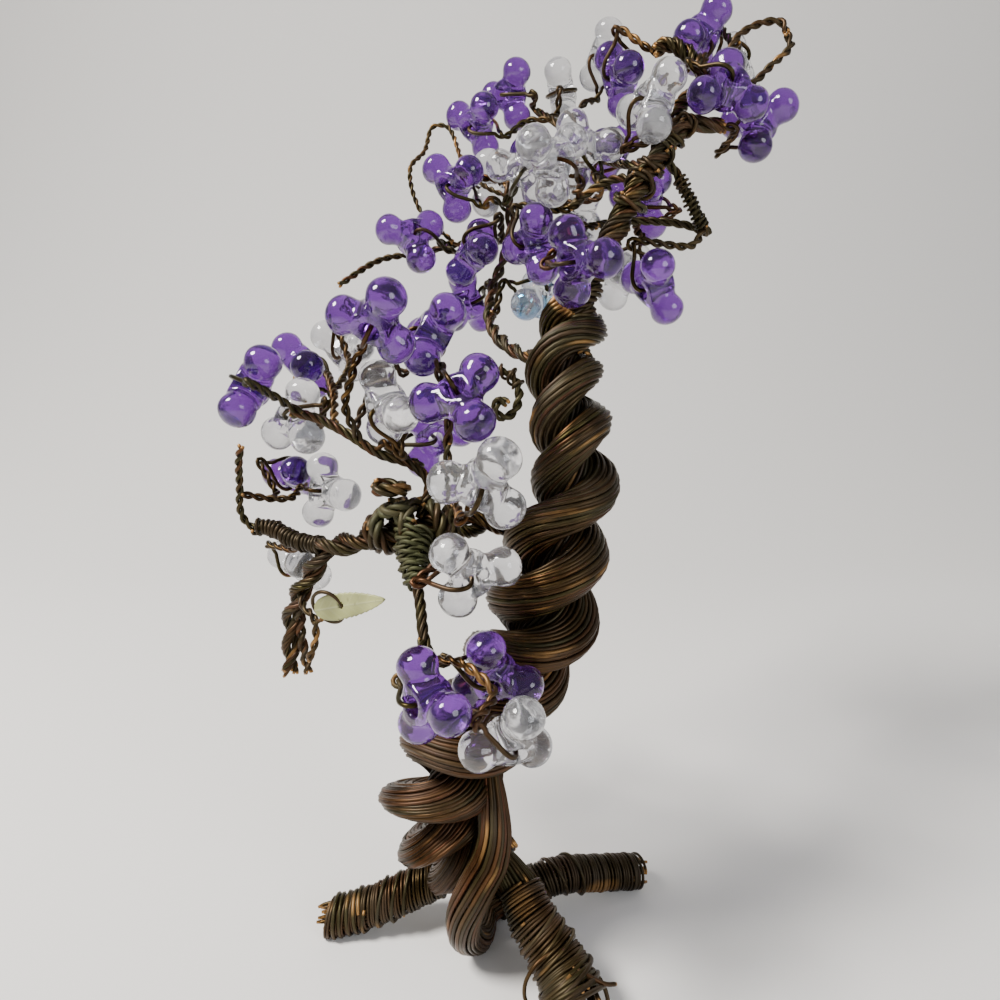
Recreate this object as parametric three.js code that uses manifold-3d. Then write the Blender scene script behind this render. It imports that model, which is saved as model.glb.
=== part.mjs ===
// Wire tree: two bundles of copper wire laid round each other as a trunk, three bound roots,
// ropes and twigs of the same wire, and three-lobed plastic beads held in wire loops.
// Millimetres, +Z up, the front of the tree faces -Y. The origin is under the middle of the trunk.
import * as THREE from 'three';
import { mergeVertices } from 'three/addons/utils/BufferGeometryUtils.js';
import Module from 'manifold-3d';

const wasm = await Module();
wasm.setup();

// Driving dimensions
const clearance = 0.3;        // between two pieces that touch in the real tree
const loopWire = 0.56;        // one strand, as it goes round a bead
const twigWidth = 1.2;        // two strands twisted together
const ropeWidth = 2.6;        // the ropes that carry the crown and the back twigs
const ropeFoot = 4.6;         // the crown rope where it leaves the trunk
const limbWidth = 3.4;        // the left limb
const knotWidth = 7.0;        // the wraps round the left limb
const coilWidth = 1.5;        // a twig wound with a second wire
const beadLobe = 4.6;         // diameter of one lobe of a bead
const beadReach = 3.7;        // from the hole's middle to the middle of a lobe
const beadWaist = 2.0;        // from the hole's middle to the waist between two lobes
const beadHole = 2.0;
const beadThick = 4.6;
const bundleTurnSteps = 7;    // rings of vertices in one turn of a trunk bundle
const leafThick = 0.5;
const leafLength = 9.5;
const leafWidth = 3.8;
const bindingPitch = 3.2;     // from ridge to ridge of a root's binding
const bindingDepth = 0.22;
const sliver = 0.05;          // edges shorter than this are closed up

// The trunk's middle line, from the ground up, with the half width of the pair of bundles,
// half the height of one bundle's section and the length of one whole turn at that place.
const trunkStations = [
  { at: [0.8, 0.3, 8.2], half: 5.2, thick: 1.85, turn: 10.5 },
  { at: [-3, -1.2, 12.6], half: 6.3, thick: 1.85, turn: 10.5 },
  { at: [-6.2, -2.6, 20], half: 7.4, thick: 1.55, turn: 11 },
  { at: [-4.2, -3.4, 27], half: 7.1, thick: 2.25, turn: 15 },
  { at: [0.6, -4.2, 34], half: 6.7, thick: 2.6, turn: 16 },
  { at: [4.2, -4.8, 41], half: 6.9, thick: 2.55, turn: 15 },
  { at: [7.2, -5, 48], half: 7.1, thick: 2.5, turn: 15 },
  { at: [8.8, -4.4, 56], half: 6.2, thick: 2.6, turn: 17 },
  { at: [10.8, -3, 63], half: 5.2, thick: 2.2, turn: 14.5 },
  { at: [10.2, 0, 70], half: 4.9, thick: 2.05, turn: 12.8 },
  { at: [9.8, 3, 76], half: 4.7, thick: 1.95, turn: 12.8 },
  { at: [11.5, 6, 81.5], half: 4.2, thick: 1.8, turn: 12.8 },
];
const trunkStartAngle = 20;   // degrees, from +X, of the first bundle at the foot

const copper = new THREE.MeshStandardMaterial({ color: 0x4a3620, roughness: 0.45, metalness: 1 });
const purple = new THREE.MeshStandardMaterial({
  color: 0x5a2fa0, roughness: 0.12, metalness: 0, transparent: true, opacity: 0.8,
});
const clear = new THREE.MeshStandardMaterial({
  color: 0xd8d4cf, roughness: 0.1, metalness: 0, transparent: true, opacity: 0.45,
});
const leafGreen = new THREE.MeshStandardMaterial({ color: 0x8f9470, roughness: 0.6, metalness: 0 });

const tree = new THREE.Group();
const vec = (p) => new THREE.Vector3(...p);

// Solids
function solidFrom(vertices, triangles) {
  return new wasm.Manifold(new wasm.Mesh({
    numProp: 3,
    vertProperties: Float32Array.from(vertices),
    triVerts: Uint32Array.from(triangles),
  }));
}

function solidFromGeometry(geometry) {
  geometry.deleteAttribute('normal');
  geometry.deleteAttribute('uv');
  const merged = mergeVertices(geometry, 1e-4);
  return solidFrom(merged.attributes.position.array, merged.index.array);
}

function geometryFrom(solid) {
  const mesh = solid.asOriginal().simplify(sliver).getMesh();
  const geometry = new THREE.BufferGeometry();
  geometry.setAttribute('position', new THREE.BufferAttribute(mesh.vertProperties, 3));
  geometry.setIndex(new THREE.BufferAttribute(mesh.triVerts, 1));
  geometry.computeVertexNormals();
  return geometry;
}

function addNode(name, solid, material) {
  const mesh = new THREE.Mesh(geometryFrom(solid), material);
  mesh.name = name;
  tree.add(mesh);
}

// Joins rings of vertices, each turning left about the way along, into one closed skin.
function skin(rings, closed = false) {
  const sides = rings[0].length;
  const vertices = rings.flat().flatMap((p) => [p.x, p.y, p.z]);
  const triangles = [];
  const bands = closed ? rings.length : rings.length - 1;
  for (let band = 0; band < bands; band += 1) {
    const here = band * sides;
    const next = ((band + 1) % rings.length) * sides;
    for (let side = 0; side < sides; side += 1) {
      const beside = (side + 1) % sides;
      triangles.push(here + side, here + beside, next + beside);
      triangles.push(here + side, next + beside, next + side);
    }
  }
  if (!closed) {
    const last = (rings.length - 1) * sides;
    for (let side = 1; side < sides - 1; side += 1) {
      triangles.push(0, side + 1, side);
      triangles.push(last, last + side, last + side + 1);
    }
  }
  return solidFrom(vertices, triangles);
}

function ringAt(centre, across, up, halfAcross, halfUp, sides) {
  const ring = [];
  for (let side = 0; side < sides; side += 1) {
    const a = (2 * Math.PI * side) / sides;
    ring.push(centre.clone()
      .addScaledVector(across, halfAcross * Math.cos(a))
      .addScaledVector(up, halfUp * Math.sin(a)));
  }
  return ring;
}

// A wire, twig or rope along a smooth line. A flat section turns as it goes, as laid wires do.
function strand(points, width, { sides = 3, step = 4.5, lay = Infinity, flat = 1, shape = () => 1 } = {}) {
  const line = new THREE.CatmullRomCurve3(points.map(vec), false, 'centripetal');
  const length = line.getLength();
  const steps = Math.max(2, Math.round(length / step));
  const frames = line.computeFrenetFrames(steps, false);
  const rings = [];
  for (let i = 0; i <= steps; i += 1) {
    const share = i / steps;
    const turned = (2 * Math.PI * length * share) / lay;
    const across = frames.normals[i].clone().multiplyScalar(Math.cos(turned))
      .addScaledVector(frames.binormals[i], Math.sin(turned));
    const up = frames.binormals[i].clone().multiplyScalar(Math.cos(turned))
      .addScaledVector(frames.normals[i], -Math.sin(turned));
    const half = (width / 2) * shape(share, length);
    rings.push(ringAt(line.getPointAt(share), across, up, half, half * flat, sides));
  }
  return skin(rings);
}

function join(solids) {
  return solids.reduce((whole, solid) => whole.add(solid));
}

// Cutting one piece clear of another can leave a sliver: only the piece itself is kept.
function largest(solid) {
  return solid.decompose().sort((a, b) => b.volume() - a.volume())[0];
}

// Trunk: two bundles, half a turn apart, each an oval section that fills its side of the trunk.
function trunkBundle(startAngle, grow = 0) {
  const spine = new THREE.CatmullRomCurve3(trunkStations.map((s) => vec(s.at)), false, 'centripetal');
  const last = trunkStations.length - 1;
  const between = (key, t) => {
    const place = Math.min(t * last, last - 1e-6);
    const below = Math.floor(place);
    return THREE.MathUtils.lerp(
      trunkStations[below][key], trunkStations[below + 1][key], place - below,
    );
  };
  const samples = 1200;
  const middle = [];
  let angle = THREE.MathUtils.degToRad(startAngle);
  let before = spine.getPoint(0);
  for (let i = 0; i <= samples; i += 1) {
    const t = i / samples;
    const centre = spine.getPoint(t);
    angle += (2 * Math.PI * centre.distanceTo(before)) / between('turn', t);
    before = centre;
    const along = spine.getTangent(t);
    const right = new THREE.Vector3(1, 0, 0).addScaledVector(along, -along.x).normalize();
    const back = along.clone().cross(right);
    const out = right.multiplyScalar(Math.cos(angle)).addScaledVector(back, Math.sin(angle));
    const half = between('half', t);
    const offset = (half + clearance) / 2;
    middle.push({
      angle,
      out,
      halfOut: half - offset + grow,
      halfUp: between('thick', t) + grow,
      point: centre.clone().addScaledVector(out, offset),
    });
  }
  const rings = [];
  const turns = (middle[samples].angle - middle[0].angle) / (2 * Math.PI);
  const steps = Math.round(turns * bundleTurnSteps);
  let cursor = 0;
  for (let i = 0; i <= steps; i += 1) {
    const wanted = middle[0].angle + (2 * Math.PI * turns * i) / steps;
    while (cursor < samples && middle[cursor].angle < wanted - 1e-9) cursor += 1;
    const here = middle[cursor];
    const ahead = middle[Math.min(cursor + 2, samples)].point.clone()
      .sub(middle[Math.max(cursor - 2, 0)].point).normalize();
    const across = here.out.clone().addScaledVector(ahead, -ahead.dot(here.out)).normalize();
    const up = ahead.clone().cross(across);
    rings.push(ringAt(here.point, across, up, here.halfOut, here.halfUp, 8));
  }
  return skin(rings);
}

addNode('trunk_bundle_a', trunkBundle(trunkStartAngle), copper);
addNode('trunk_bundle_b', trunkBundle(trunkStartAngle + 180), copper);

const trunkRoom = join([
  trunkBundle(trunkStartAngle, clearance), trunkBundle(trunkStartAngle + 180, clearance),
]);
const clearOfTrunk = (solid) => largest(solid.subtract(trunkRoom));

// Roots: each a bundle of strands, wound closely with thin wire from its shoulder to near its tip.
const ground = solidFromGeometry(new THREE.BoxGeometry(200, 200, 20).translate(0, 0, -10));

function boundRoot(points, startWidth, endWidth, boundFrom, boundTo) {
  const shape = (share, length) => {
    const width = THREE.MathUtils.lerp(startWidth, endWidth, share);
    const bound = share > boundFrom && share < boundTo;
    if (!bound) return width - bindingDepth * 4;
    const ridge = Math.cos((2 * Math.PI * share * length) / bindingPitch) > 0;
    return ridge ? width : width - bindingDepth * 2;
  };
  const root = strand(points, 1, { sides: 8, step: bindingPitch / 2, shape });
  return clearOfTrunk(root.subtract(ground));
}

const rootLeft = boundRoot(
  [[-4.6, 1.2, 7.6], [-8, 0.8, 6.2], [-13, 0, 4.2], [-18, -0.6, 2.6], [-22.6, -1, 1.9]],
  5.6, 5.2, 0.1, 0.86,
);
const rootRight = boundRoot(
  [[1.4, -9, 16.6], [-0.2, -9.6, 13.8], [-2, -9.2, 10], [-2.4, -7.6, 5.6], [-1, -4.9, 2.4],
    [-0.5, -2.4, 1.6], [-0.1, 0.2, 1.5], [2.2, 2.4, 2.2], [6, 3.6, 3.4], [10, 4.6, 4.2],
    [16, 6.3, 3.3], [23.6, 8.4, 1.95]],
  5.0, 5.3, 0.58, 0.93,
);
const rootFront = boundRoot(
  [[4.6, -4.2, 9.4], [6.2, -7.6, 7.4], [9, -11.2, 5], [10.3, -14.2, 3.7], [10.6, -17.2, 3]],
  5.8, 7.6, 0.06, 0.86,
);
addNode('root_left', rootLeft, copper);
addNode('root_right', rootRight, copper);
addNode('root_front', rootFront, copper);

// Beads: three ball-like lobes round a hub with a hole. hub is the hole's middle, turn and lean
// face the hole's axis away from the front, and spin turns the first lobe leftwards from the top.
const beads = {
  bead_purple_low_left: { hub: [-5, -20.2, 43.6], turn: -50, lean: 0, spin: 30, tint: purple },
  bead_purple_low_middle: { hub: [1.4, -13.7, 43.3], turn: -10, lean: 20, spin: 10, tint: purple },
  bead_clear_low: { hub: [3.2, -19.6, 39.2], turn: 20, lean: 30, spin: 110, tint: clear },
  bead_clear_hook: { hub: [-1.1, -12.4, 54.3], turn: 10, lean: 20, spin: 40, tint: clear },
  bead_clear_front: { hub: [0.5, -18, 65], turn: -10, lean: 30, spin: 90, tint: clear },
  bead_purple_upper_front: { hub: [-11, -7.5, 80.5], turn: -20, lean: 40, spin: 80, tint: purple },
  bead_purple_upper_back: { hub: [-6, 1, 79], turn: -70, lean: -30, spin: 90, tint: purple },
  bead_purple_centre: { hub: [-2, -11, 72.5], turn: -20, lean: -40, spin: 100, tint: purple },
  bead_purple_centre_back: { hub: [-6.4, 5.6, 66.6], turn: 20, lean: 10, spin: 40, tint: purple },
  bead_clear_centre_back: { hub: [-10.8, -2.5, 71], turn: -60, lean: 10, spin: 20, tint: clear },
  bead_purple_left: { hub: [-27, 0, 73], turn: -80, lean: -30, spin: 100, tint: purple },
  bead_clear_left: { hub: [-23.5, 5.5, 68.5], turn: -40, lean: -20, spin: 0, tint: clear },
  bead_purple_left_back: { hub: [-24.5, 15, 75], turn: -70, lean: 40, spin: 30, tint: purple },
  bead_clear_left_back: { hub: [-20, 21, 77], turn: -40, lean: 40, spin: 40, tint: clear },
  bead_purple_far_left: { hub: [-27.5, 19, 59], turn: -30, lean: 60, spin: 80, tint: purple },
  bead_clear_mid_left: { hub: [-21, 10.5, 58.5], turn: -40, lean: -10, spin: 30, tint: clear },
  bead_clear_limb_back: { hub: [-27.5, 18, 46], turn: -50, lean: 50, spin: 60, tint: clear },
  bead_purple_back_left: { hub: [-10.4, 25, 92.8], turn: 20, lean: -30, spin: 70, tint: purple },
  bead_purple_back_middle: { hub: [-1.5, 21.5, 90.5], turn: -70, lean: -30, spin: 30, tint: purple },
  bead_purple_back_low: { hub: [-3, 27, 83.5], turn: 50, lean: -10, spin: 0, tint: purple },
  bead_purple_high_left: { hub: [-4.6, 27.4, 100.6], turn: -40, lean: 20, spin: 50, tint: purple },
  bead_clear_high_left: { hub: [1.6, 33.6, 101.4], turn: 30, lean: -10, spin: 20, tint: clear },
  bead_clear_high_middle: { hub: [5.5, 22, 101.5], turn: -20, lean: 30, spin: 80, tint: clear },
  bead_purple_crown_left: { hub: [6.2, 13.8, 90.4], turn: -60, lean: 10, spin: 90, tint: purple },
  bead_purple_crown_middle: { hub: [11, -1.4, 87], turn: -50, lean: 10, spin: 30, tint: purple },
  bead_clear_pearly: { hub: [8, 18.7, 83.9], turn: 30, lean: -50, spin: 110, tint: clear },
  bead_clear_crown: { hub: [14, 25.8, 94.8], turn: 30, lean: 20, spin: 10, tint: clear },
  bead_purple_crown_right: { hub: [22, 22.5, 97.5], turn: -50, lean: 20, spin: 70, tint: purple },
  bead_clear_crown_right: { hub: [19.5, 22, 87.5], turn: 70, lean: 30, spin: 80, tint: clear },
  bead_purple_right: { hub: [21.7, 11.4, 85.4], turn: -70, lean: 30, spin: 70, tint: purple },
  bead_purple_top_back_left: { hub: [3.5, 40, 116], turn: -50, lean: 10, spin: 80, tint: purple },
  bead_purple_top_back_low: { hub: [-1.6, 36.6, 111], turn: -50, lean: 30, spin: 60, tint: purple },
  bead_purple_top_back: { hub: [8.5, 32, 105], turn: 40, lean: -50, spin: 80, tint: purple },
  bead_clear_top_back: { hub: [12, 43, 117], turn: 80, lean: -10, spin: 40, tint: clear },
  bead_clear_top_back_right: { hub: [17.8, 36, 120], turn: -70, lean: -10, spin: 0, tint: clear },
  bead_clear_middle_back: { hub: [13.5, 19.5, 103.5], turn: -30, lean: 10, spin: 30, tint: clear },
  bead_clear_middle_front: { hub: [8.4, 8.6, 99.8], turn: 40, lean: 10, spin: 70, tint: clear },
  bead_purple_top: { hub: [18.8, 26.4, 114.4], turn: -80, lean: 20, spin: 30, tint: purple },
  bead_purple_top_low: { hub: [18.4, 31, 105.4], turn: 60, lean: 30, spin: 80, tint: purple },
  bead_clear_top_middle: { hub: [20.6, 11.4, 106.6], turn: -60, lean: -20, spin: 90, tint: clear },
  bead_purple_top_right: { hub: [29.5, 25, 119], turn: 60, lean: 30, spin: 110, tint: purple },
  bead_clear_top_right: { hub: [36.2, 31, 117], turn: 60, lean: -20, spin: 100, tint: clear },
  bead_purple_right_high: { hub: [30.1, 12.5, 108.7], turn: 10, lean: -30, spin: 110, tint: purple },
  bead_purple_far_right: { hub: [35.8, 18.1, 106.1], turn: -40, lean: -30, spin: 70, tint: purple },
};

function beadShape() {
  const outline = new THREE.Shape();
  const arcEnd = THREE.MathUtils.degToRad(100);
  for (let lobe = 0; lobe < 3; lobe += 1) {
    const toLobe = Math.PI / 2 + (2 * Math.PI * lobe) / 3;
    for (let i = 0; i < 4; i += 1) {
      const around = toLobe + THREE.MathUtils.lerp(-arcEnd, arcEnd, i / 3);
      const x = beadReach * Math.cos(toLobe) + (beadLobe / 2) * Math.cos(around);
      const y = beadReach * Math.sin(toLobe) + (beadLobe / 2) * Math.sin(around);
      if (lobe === 0 && i === 0) outline.moveTo(x, y);
      else outline.lineTo(x, y);
    }
    const toWaist = toLobe + Math.PI / 3;
    outline.lineTo(beadWaist * Math.cos(toWaist), beadWaist * Math.sin(toWaist));
  }
  const hole = new THREE.Path();
  for (let i = 0; i < 4; i += 1) {
    const around = Math.PI / 4 - (Math.PI * i) / 2;
    const x = (beadHole / 2) * Math.cos(around);
    const y = (beadHole / 2) * Math.sin(around);
    if (i === 0) hole.moveTo(x, y);
    else hole.lineTo(x, y);
  }
  hole.closePath();
  outline.holes.push(hole);
  const shape = new THREE.ExtrudeGeometry(outline, { depth: beadThick, steps: 2, bevelEnabled: false });
  shape.translate(0, 0, -beadThick / 2);
  const place = shape.attributes.position;
  const faceShare = 0.5;
  for (let i = 0; i < place.count; i += 1) {
    const point = new THREE.Vector2(place.getX(i), place.getY(i));
    const onFace = Math.abs(place.getZ(i)) > beadThick / 4;
    if (!onFace || point.length() < beadHole / 2 + 0.01) continue;
    if (point.length() < beadWaist + 0.01) {
      point.setLength((beadWaist + beadHole / 2) / 2);
    } else {
      const third = (2 * Math.PI) / 3;
      const lobe = Math.round((point.angle() - Math.PI / 2) / third);
      const middle = new THREE.Vector2(beadReach, 0)
        .rotateAround(new THREE.Vector2(), Math.PI / 2 + lobe * third);
      point.sub(middle).multiplyScalar(faceShare).add(middle);
    }
    place.setXY(i, point.x, point.y);
  }
  shape.deleteAttribute('normal');
  shape.deleteAttribute('uv');
  const merged = mergeVertices(shape, 1e-4);
  merged.computeVertexNormals();
  return merged;
}

const beadGeometry = beadShape();
for (const [name, bead] of Object.entries(beads)) {
  const radians = THREE.MathUtils.degToRad;
  const mesh = new THREE.Mesh(beadGeometry, bead.tint);
  mesh.name = name;
  mesh.position.set(...bead.hub);
  mesh.quaternion
    .multiply(new THREE.Quaternion().setFromAxisAngle(new THREE.Vector3(0, 0, 1), radians(bead.turn)))
    .multiply(new THREE.Quaternion().setFromAxisAngle(new THREE.Vector3(1, 0, 0), radians(bead.lean + 90)))
    .multiply(new THREE.Quaternion().setFromAxisAngle(new THREE.Vector3(0, 0, 1), radians(bead.spin)));
  tree.add(mesh);
  bead.mesh = mesh;
}

// A twig ends in one strand that goes through the bead's hole and back round its waist, on the
// side that the twig comes from, so the twig's last stretch lies between two lobes.
function holdBead(name, points) {
  const { mesh } = beads[name];
  const hub = mesh.position;
  const from = vec(points.at(-1)).sub(hub).normalize();
  const axis = new THREE.Vector3(0, 0, 1).applyQuaternion(mesh.quaternion);
  const waists = [30, 150, 270].map((degrees) => {
    const a = THREE.MathUtils.degToRad(degrees);
    return new THREE.Vector3(Math.cos(a), Math.sin(a), 0).applyQuaternion(mesh.quaternion);
  });
  const waist = waists.sort((a, b) => b.dot(from) - a.dot(from))[0];
  const side = waist.clone().cross(axis);
  const high = beadThick / 2 + clearance + loopWire / 2;
  const out = beadWaist + clearance + loopWire / 2;
  const route = [[0, high], [out - 0.9, high], [out + 0.3, 0], [out - 0.9, -high], [0, -high]];
  const at = ([w, z]) => hub.clone().addScaledVector(waist, w).addScaledVector(axis, z);
  const middle = at([out / 2, 0]);
  const rings = route.map((place) => {
    const outward = at(place).sub(middle).normalize();
    return ringAt(at(place), outward, side, loopWire / 2, loopWire / 2, 3);
  });
  const reach = beadReach + beadLobe / 2;
  const end = [hub.clone().addScaledVector(waist, reach), hub.clone().addScaledVector(waist, out)];
  const twig = strand([...points, ...end.map((p) => p.toArray())], twigWidth);
  return skin(rings, true).add(twig);
}

// Crown rope: the trunk's strands go on to the upper right, with a second rope up to a cut stub.
const towards = (start, end) => (share) => THREE.MathUtils.lerp(start, end, share);
const crownRoute = [[11.3, 5.4, 80], [12.4, 6.6, 84], [14.6, 8.5, 88], [17.6, 10.2, 94],
  [20.5, 12, 99], [23.5, 13.6, 102.6], [25.4, 14, 104.8], [27.6, 14, 105], [30.5, 14, 104.6]];
const crownRope = (grow = 0) => strand(crownRoute, ropeWidth + 2 * grow, {
  sides: 6, step: 2.5, lay: 15, flat: 0.85, shape: towards(ropeFoot / ropeWidth, 0.8),
});
const stub = strand([[23.5, 13.6, 102.6], [24.6, 15.6, 107], [28.3, 17.4, 111.2], [27, 19.6, 114.6],
  [24.4, 21, 116.6], [22.2, 21.6, 116]], ropeWidth * 0.85, { sides: 5, step: 3 });
const topTwigA = strand([[28.3, 17.4, 111.2], [31, 18.4, 113.6], [33.5, 20.6, 117.6],
  [37, 21.5, 119.4], [39.8, 21.5, 119.4], [40.2, 21, 118]], twigWidth);
const topTwigB = strand([[28.3, 17.4, 111.2], [34, 18, 110.6], [37.5, 19, 113.5],
  [40.4, 20, 116], [41.2, 21, 117.4], [40.2, 21, 118]], twigWidth);
addNode('crown_rope', clearOfTrunk(join([
  crownRope(), stub, topTwigA, topTwigB,
  holdBead('bead_purple_far_right', [[29, 14, 104.8], [32, 14.4, 104.6]]),
  holdBead('bead_purple_right_high', [[27.4, 17, 110.4], [28.6, 15.8, 110.6]]),
  holdBead('bead_clear_top_middle', [[23.5, 13.6, 102.6], [23.4, 12.6, 103.6]]),
  holdBead('bead_purple_top', [[24.4, 21, 116.6], [23.2, 22.6, 116.2]]),
  holdBead('bead_purple_top_right', [[28.2, 17.6, 112], [28.8, 20.4, 115]]),
  holdBead('bead_clear_top_right', [[33, 20, 116.6], [34, 23.6, 117]]),
])), copper);
const clearOfCrown = (solid) => largest(solid.subtract(crownRope(clearance)).subtract(trunkRoom));

const crownLeftTwig = strand([[19.4, 11.6, 97.6], [17.4, 13.6, 98.6], [15, 15, 98],
  [12.8, 15.2, 96.6], [11, 14.6, 95]], twigWidth);
addNode('crown_left_twig', clearOfCrown(join([
  crownLeftTwig,
  holdBead('bead_purple_crown_left', [[12.8, 15.2, 96.6], [11, 14.6, 95]]),
  holdBead('bead_clear_middle_back', [[15, 15, 98], [14.6, 16.6, 99.4]]),
  holdBead('bead_clear_middle_front', [[12.8, 15.2, 96.6], [11.8, 14.4, 97]]),
  holdBead('bead_clear_crown', [[15, 15, 98], [15, 18, 97]]),
])), copper);

const coilRoute = [[22.4, 13.2, 101], [24.4, 13.8, 99.4], [26, 13.6, 96.6], [28, 14.4, 93.4],
  [29.4, 15.6, 92.2], [27.6, 17, 93.2], [24.6, 17.4, 93.8], [20.6, 17.6, 94], [17, 16.4, 93.6],
  [14.4, 13.6, 92.8]];
addNode('crown_coil_twig', clearOfCrown(join([
  strand(coilRoute, coilWidth),
  holdBead('bead_purple_crown_middle', [[14.4, 13.6, 92.8], [11, 9, 91.4], [10.4, 5.4, 90.6]]),
  holdBead('bead_purple_crown_right', [[24.6, 17.4, 93.8], [24, 19.4, 94.4]]),
  holdBead('bead_clear_crown_right', [[20.6, 17.6, 94], [20.6, 19.4, 93]]),
  holdBead('bead_purple_right', [[28.6, 15, 92.6], [27, 13.4, 90.4]]),
])), copper);

const topBackRoute = [[21.2, 13.6, 100.2], [19, 17.4, 101], [17, 22, 102.4], [14.5, 26.9, 104.5],
  [12.4, 32, 108.2], [10, 36.2, 111.4], [7.8, 39, 113.4]];
addNode('top_back_twig', clearOfCrown(join([
  strand(topBackRoute, coilWidth),
  holdBead('bead_purple_top_low', [[15.2, 25.6, 103.8], [16.2, 27, 104.1]]),
  holdBead('bead_purple_top_back', [[12.8, 31.6, 107.9], [11.4, 32, 107.6]]),
  holdBead('bead_purple_top_back_low', [[10, 36, 111.4], [6, 36.4, 111.2]]),
  holdBead('bead_purple_top_back_left', [[8.4, 38.4, 113], [7.2, 39.4, 114]]),
  holdBead('bead_clear_top_back', [[9.6, 36.6, 111.7], [11, 38.4, 113]]),
  holdBead('bead_clear_top_back_right', [[12, 32.6, 108.7], [14.6, 33.6, 113]]),
])), copper);

// Back rope: a strand bundle that leaves the trunk near its top and climbs behind it.
const backRoute = [[9, 4, 75.6], [5, 8, 76.6], [2, 12.6, 78.6], [0.6, 18, 82], [1.6, 23.4, 87],
  [3.4, 26, 92.6], [3.4, 28, 97.6], [3, 29, 101]];
const backArch = [[-5, 29, 92.8], [-10, 31.4, 97.6], [-11.6, 34, 104], [-9.6, 36.4, 107],
  [-8.4, 38.4, 111], [-6.2, 38.4, 111], [-3.4, 34, 104.6], [0, 30, 100.6], [3.2, 28.4, 99]];
addNode('back_rope', clearOfTrunk(join([
  strand(backRoute, ropeWidth * 0.7, { shape: towards(1.2, 0.7) }),
  strand([[3.4, 26, 92.6], [0, 28.4, 92.6], [-5, 30, 92.4], [-10, 31.6, 91.4], [-16, 31, 90.4],
    [-22, 27.6, 86.4]], twigWidth),
  strand(backArch, loopWire * 1.4),
  holdBead('bead_clear_pearly', [[0.6, 18, 82], [1.4, 18.4, 82]]),
  holdBead('bead_purple_back_low', [[1.6, 23.4, 87], [0.4, 25, 86.6]]),
  holdBead('bead_purple_back_middle', [[3.2, 25.6, 91.6], [2.4, 23.6, 92]]),
  holdBead('bead_purple_back_left', [[-5, 30, 92.4], [-7, 30, 92.8]]),
  holdBead('bead_purple_high_left', [[3.4, 27.6, 97], [0.6, 26.6, 98.4]]),
  holdBead('bead_clear_high_left', [[3, 29, 101], [2.6, 30, 101.4]]),
  holdBead('bead_clear_high_middle', [[3.4, 28, 98.6], [4.4, 26, 100]]),
])), copper);

// Left limb: a rope out of the trunk's side, wrapped in a knot, bent down to two cut ends.
const limbRoute = [[9, -2, 57], [4.6, -0.6, 57], [0, -1.4, 57], [-4, -2.6, 57], [-8, -3, 57],
  [-13, -1.4, 55.6], [-16.6, 0.6, 54], [-19.6, 2.2, 53.2], [-21.6, 3.6, 50], [-24, 5, 46.4],
  [-25.6, 6, 42.6], [-26, 6, 38.6], [-26.4, 6, 34.2]];
const knotRoute = [[-2.6, -2.4, 57.2], [-6, -3, 57.2], [-10, -2.6, 56.6], [-13.4, -1.4, 55.6]];
const limbKnot = (grow = 0) => strand(knotRoute, knotWidth + 2 * grow, {
  sides: 8, step: 1.8,
  shape: (share) => 0.66 + 0.3 * Math.sin(Math.PI * share) + 0.05 * Math.cos(9 * share),
});
const limbRope = (grow = 0) => strand(limbRoute, limbWidth + 2 * grow, {
  sides: 6, step: 2.5, lay: 15, flat: 0.8, shape: towards(1, 0.7),
});
const leafHole = [-19.4, -1, 46.2];
addNode('left_limb', clearOfTrunk(join([
  limbRope(), limbKnot(),
  strand([[-24, 5, 46.4], [-24.4, 5.4, 41], [-23.6, 5, 34.8]], ropeWidth * 0.6),
  strand([[-19.6, 2.2, 53.2], [-24.4, 5.6, 53], [-28, 8, 54], [-31, 8.4, 54.2], [-32.2, 8.4, 56],
    [-32, 8, 60], [-31.4, 6.6, 63.4], [-30.6, 5.6, 65.4]], twigWidth),
  strand([[-24, 5, 46.4], [-23, 2.6, 45], [-21.4, 0.8, 44.4], [-21.2, 0.6, 41.6],
    [-22.4, 1, 38.4]], twigWidth),
  holdBead('bead_clear_mid_left', [[-32, 8.2, 58.6], [-28.6, 10, 57.6], [-26, 11, 57.6]]),
  holdBead('bead_purple_far_left', [[-28.6, 10, 57.6], [-28.6, 12.6, 57.8]]),
  holdBead('bead_clear_limb_back', [[-24.4, 5.6, 53], [-26, 10, 50.6]]),
])), copper);
const clearOfLimb = (solid) => largest(
  solid.subtract(limbKnot(clearance)).subtract(limbRope(clearance)).subtract(trunkRoom),
);

const upperLeftRoute = [[-7.4, -2.8, 58], [-6.4, -1.4, 62], [-8.4, -0.8, 64], [-12, -1.6, 65.4],
  [-16.4, -0.6, 68], [-20, 1, 69.4], [-23, 1.4, 70]];
addNode('upper_left_twig', clearOfLimb(join([
  strand(upperLeftRoute, coilWidth),
  holdBead('bead_purple_left', [[-21.4, 1.2, 69.7], [-22.8, 0.6, 70.8]]),
  holdBead('bead_clear_left', [[-18.8, 0.5, 69], [-20, 3, 68.4]]),
  holdBead('bead_purple_upper_front', [[-14.2, -1.2, 66.7], [-15.6, -2.6, 71], [-14.4, -4, 74.6]]),
  holdBead('bead_purple_upper_back', [[-15.4, -0.9, 67.4], [-13.4, 2, 72], [-11, 2, 75.6]]),
  holdBead('bead_purple_left_back', [[-17.4, -0.1, 68.5], [-18.8, 6, 72.6], [-20.6, 11, 74]]),
  holdBead('bead_clear_left_back', [[-18.6, 4.6, 71.6], [-17.6, 11, 75], [-18.6, 15, 76.4]]),
  holdBead('bead_clear_centre_back', [[-12.4, -1.6, 65.6], [-11.4, -1.8, 66.8]]),
  holdBead('bead_purple_centre_back', [[-8.6, -0.9, 64.1], [-7.6, 1, 63.6]]),
])), copper);

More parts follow.
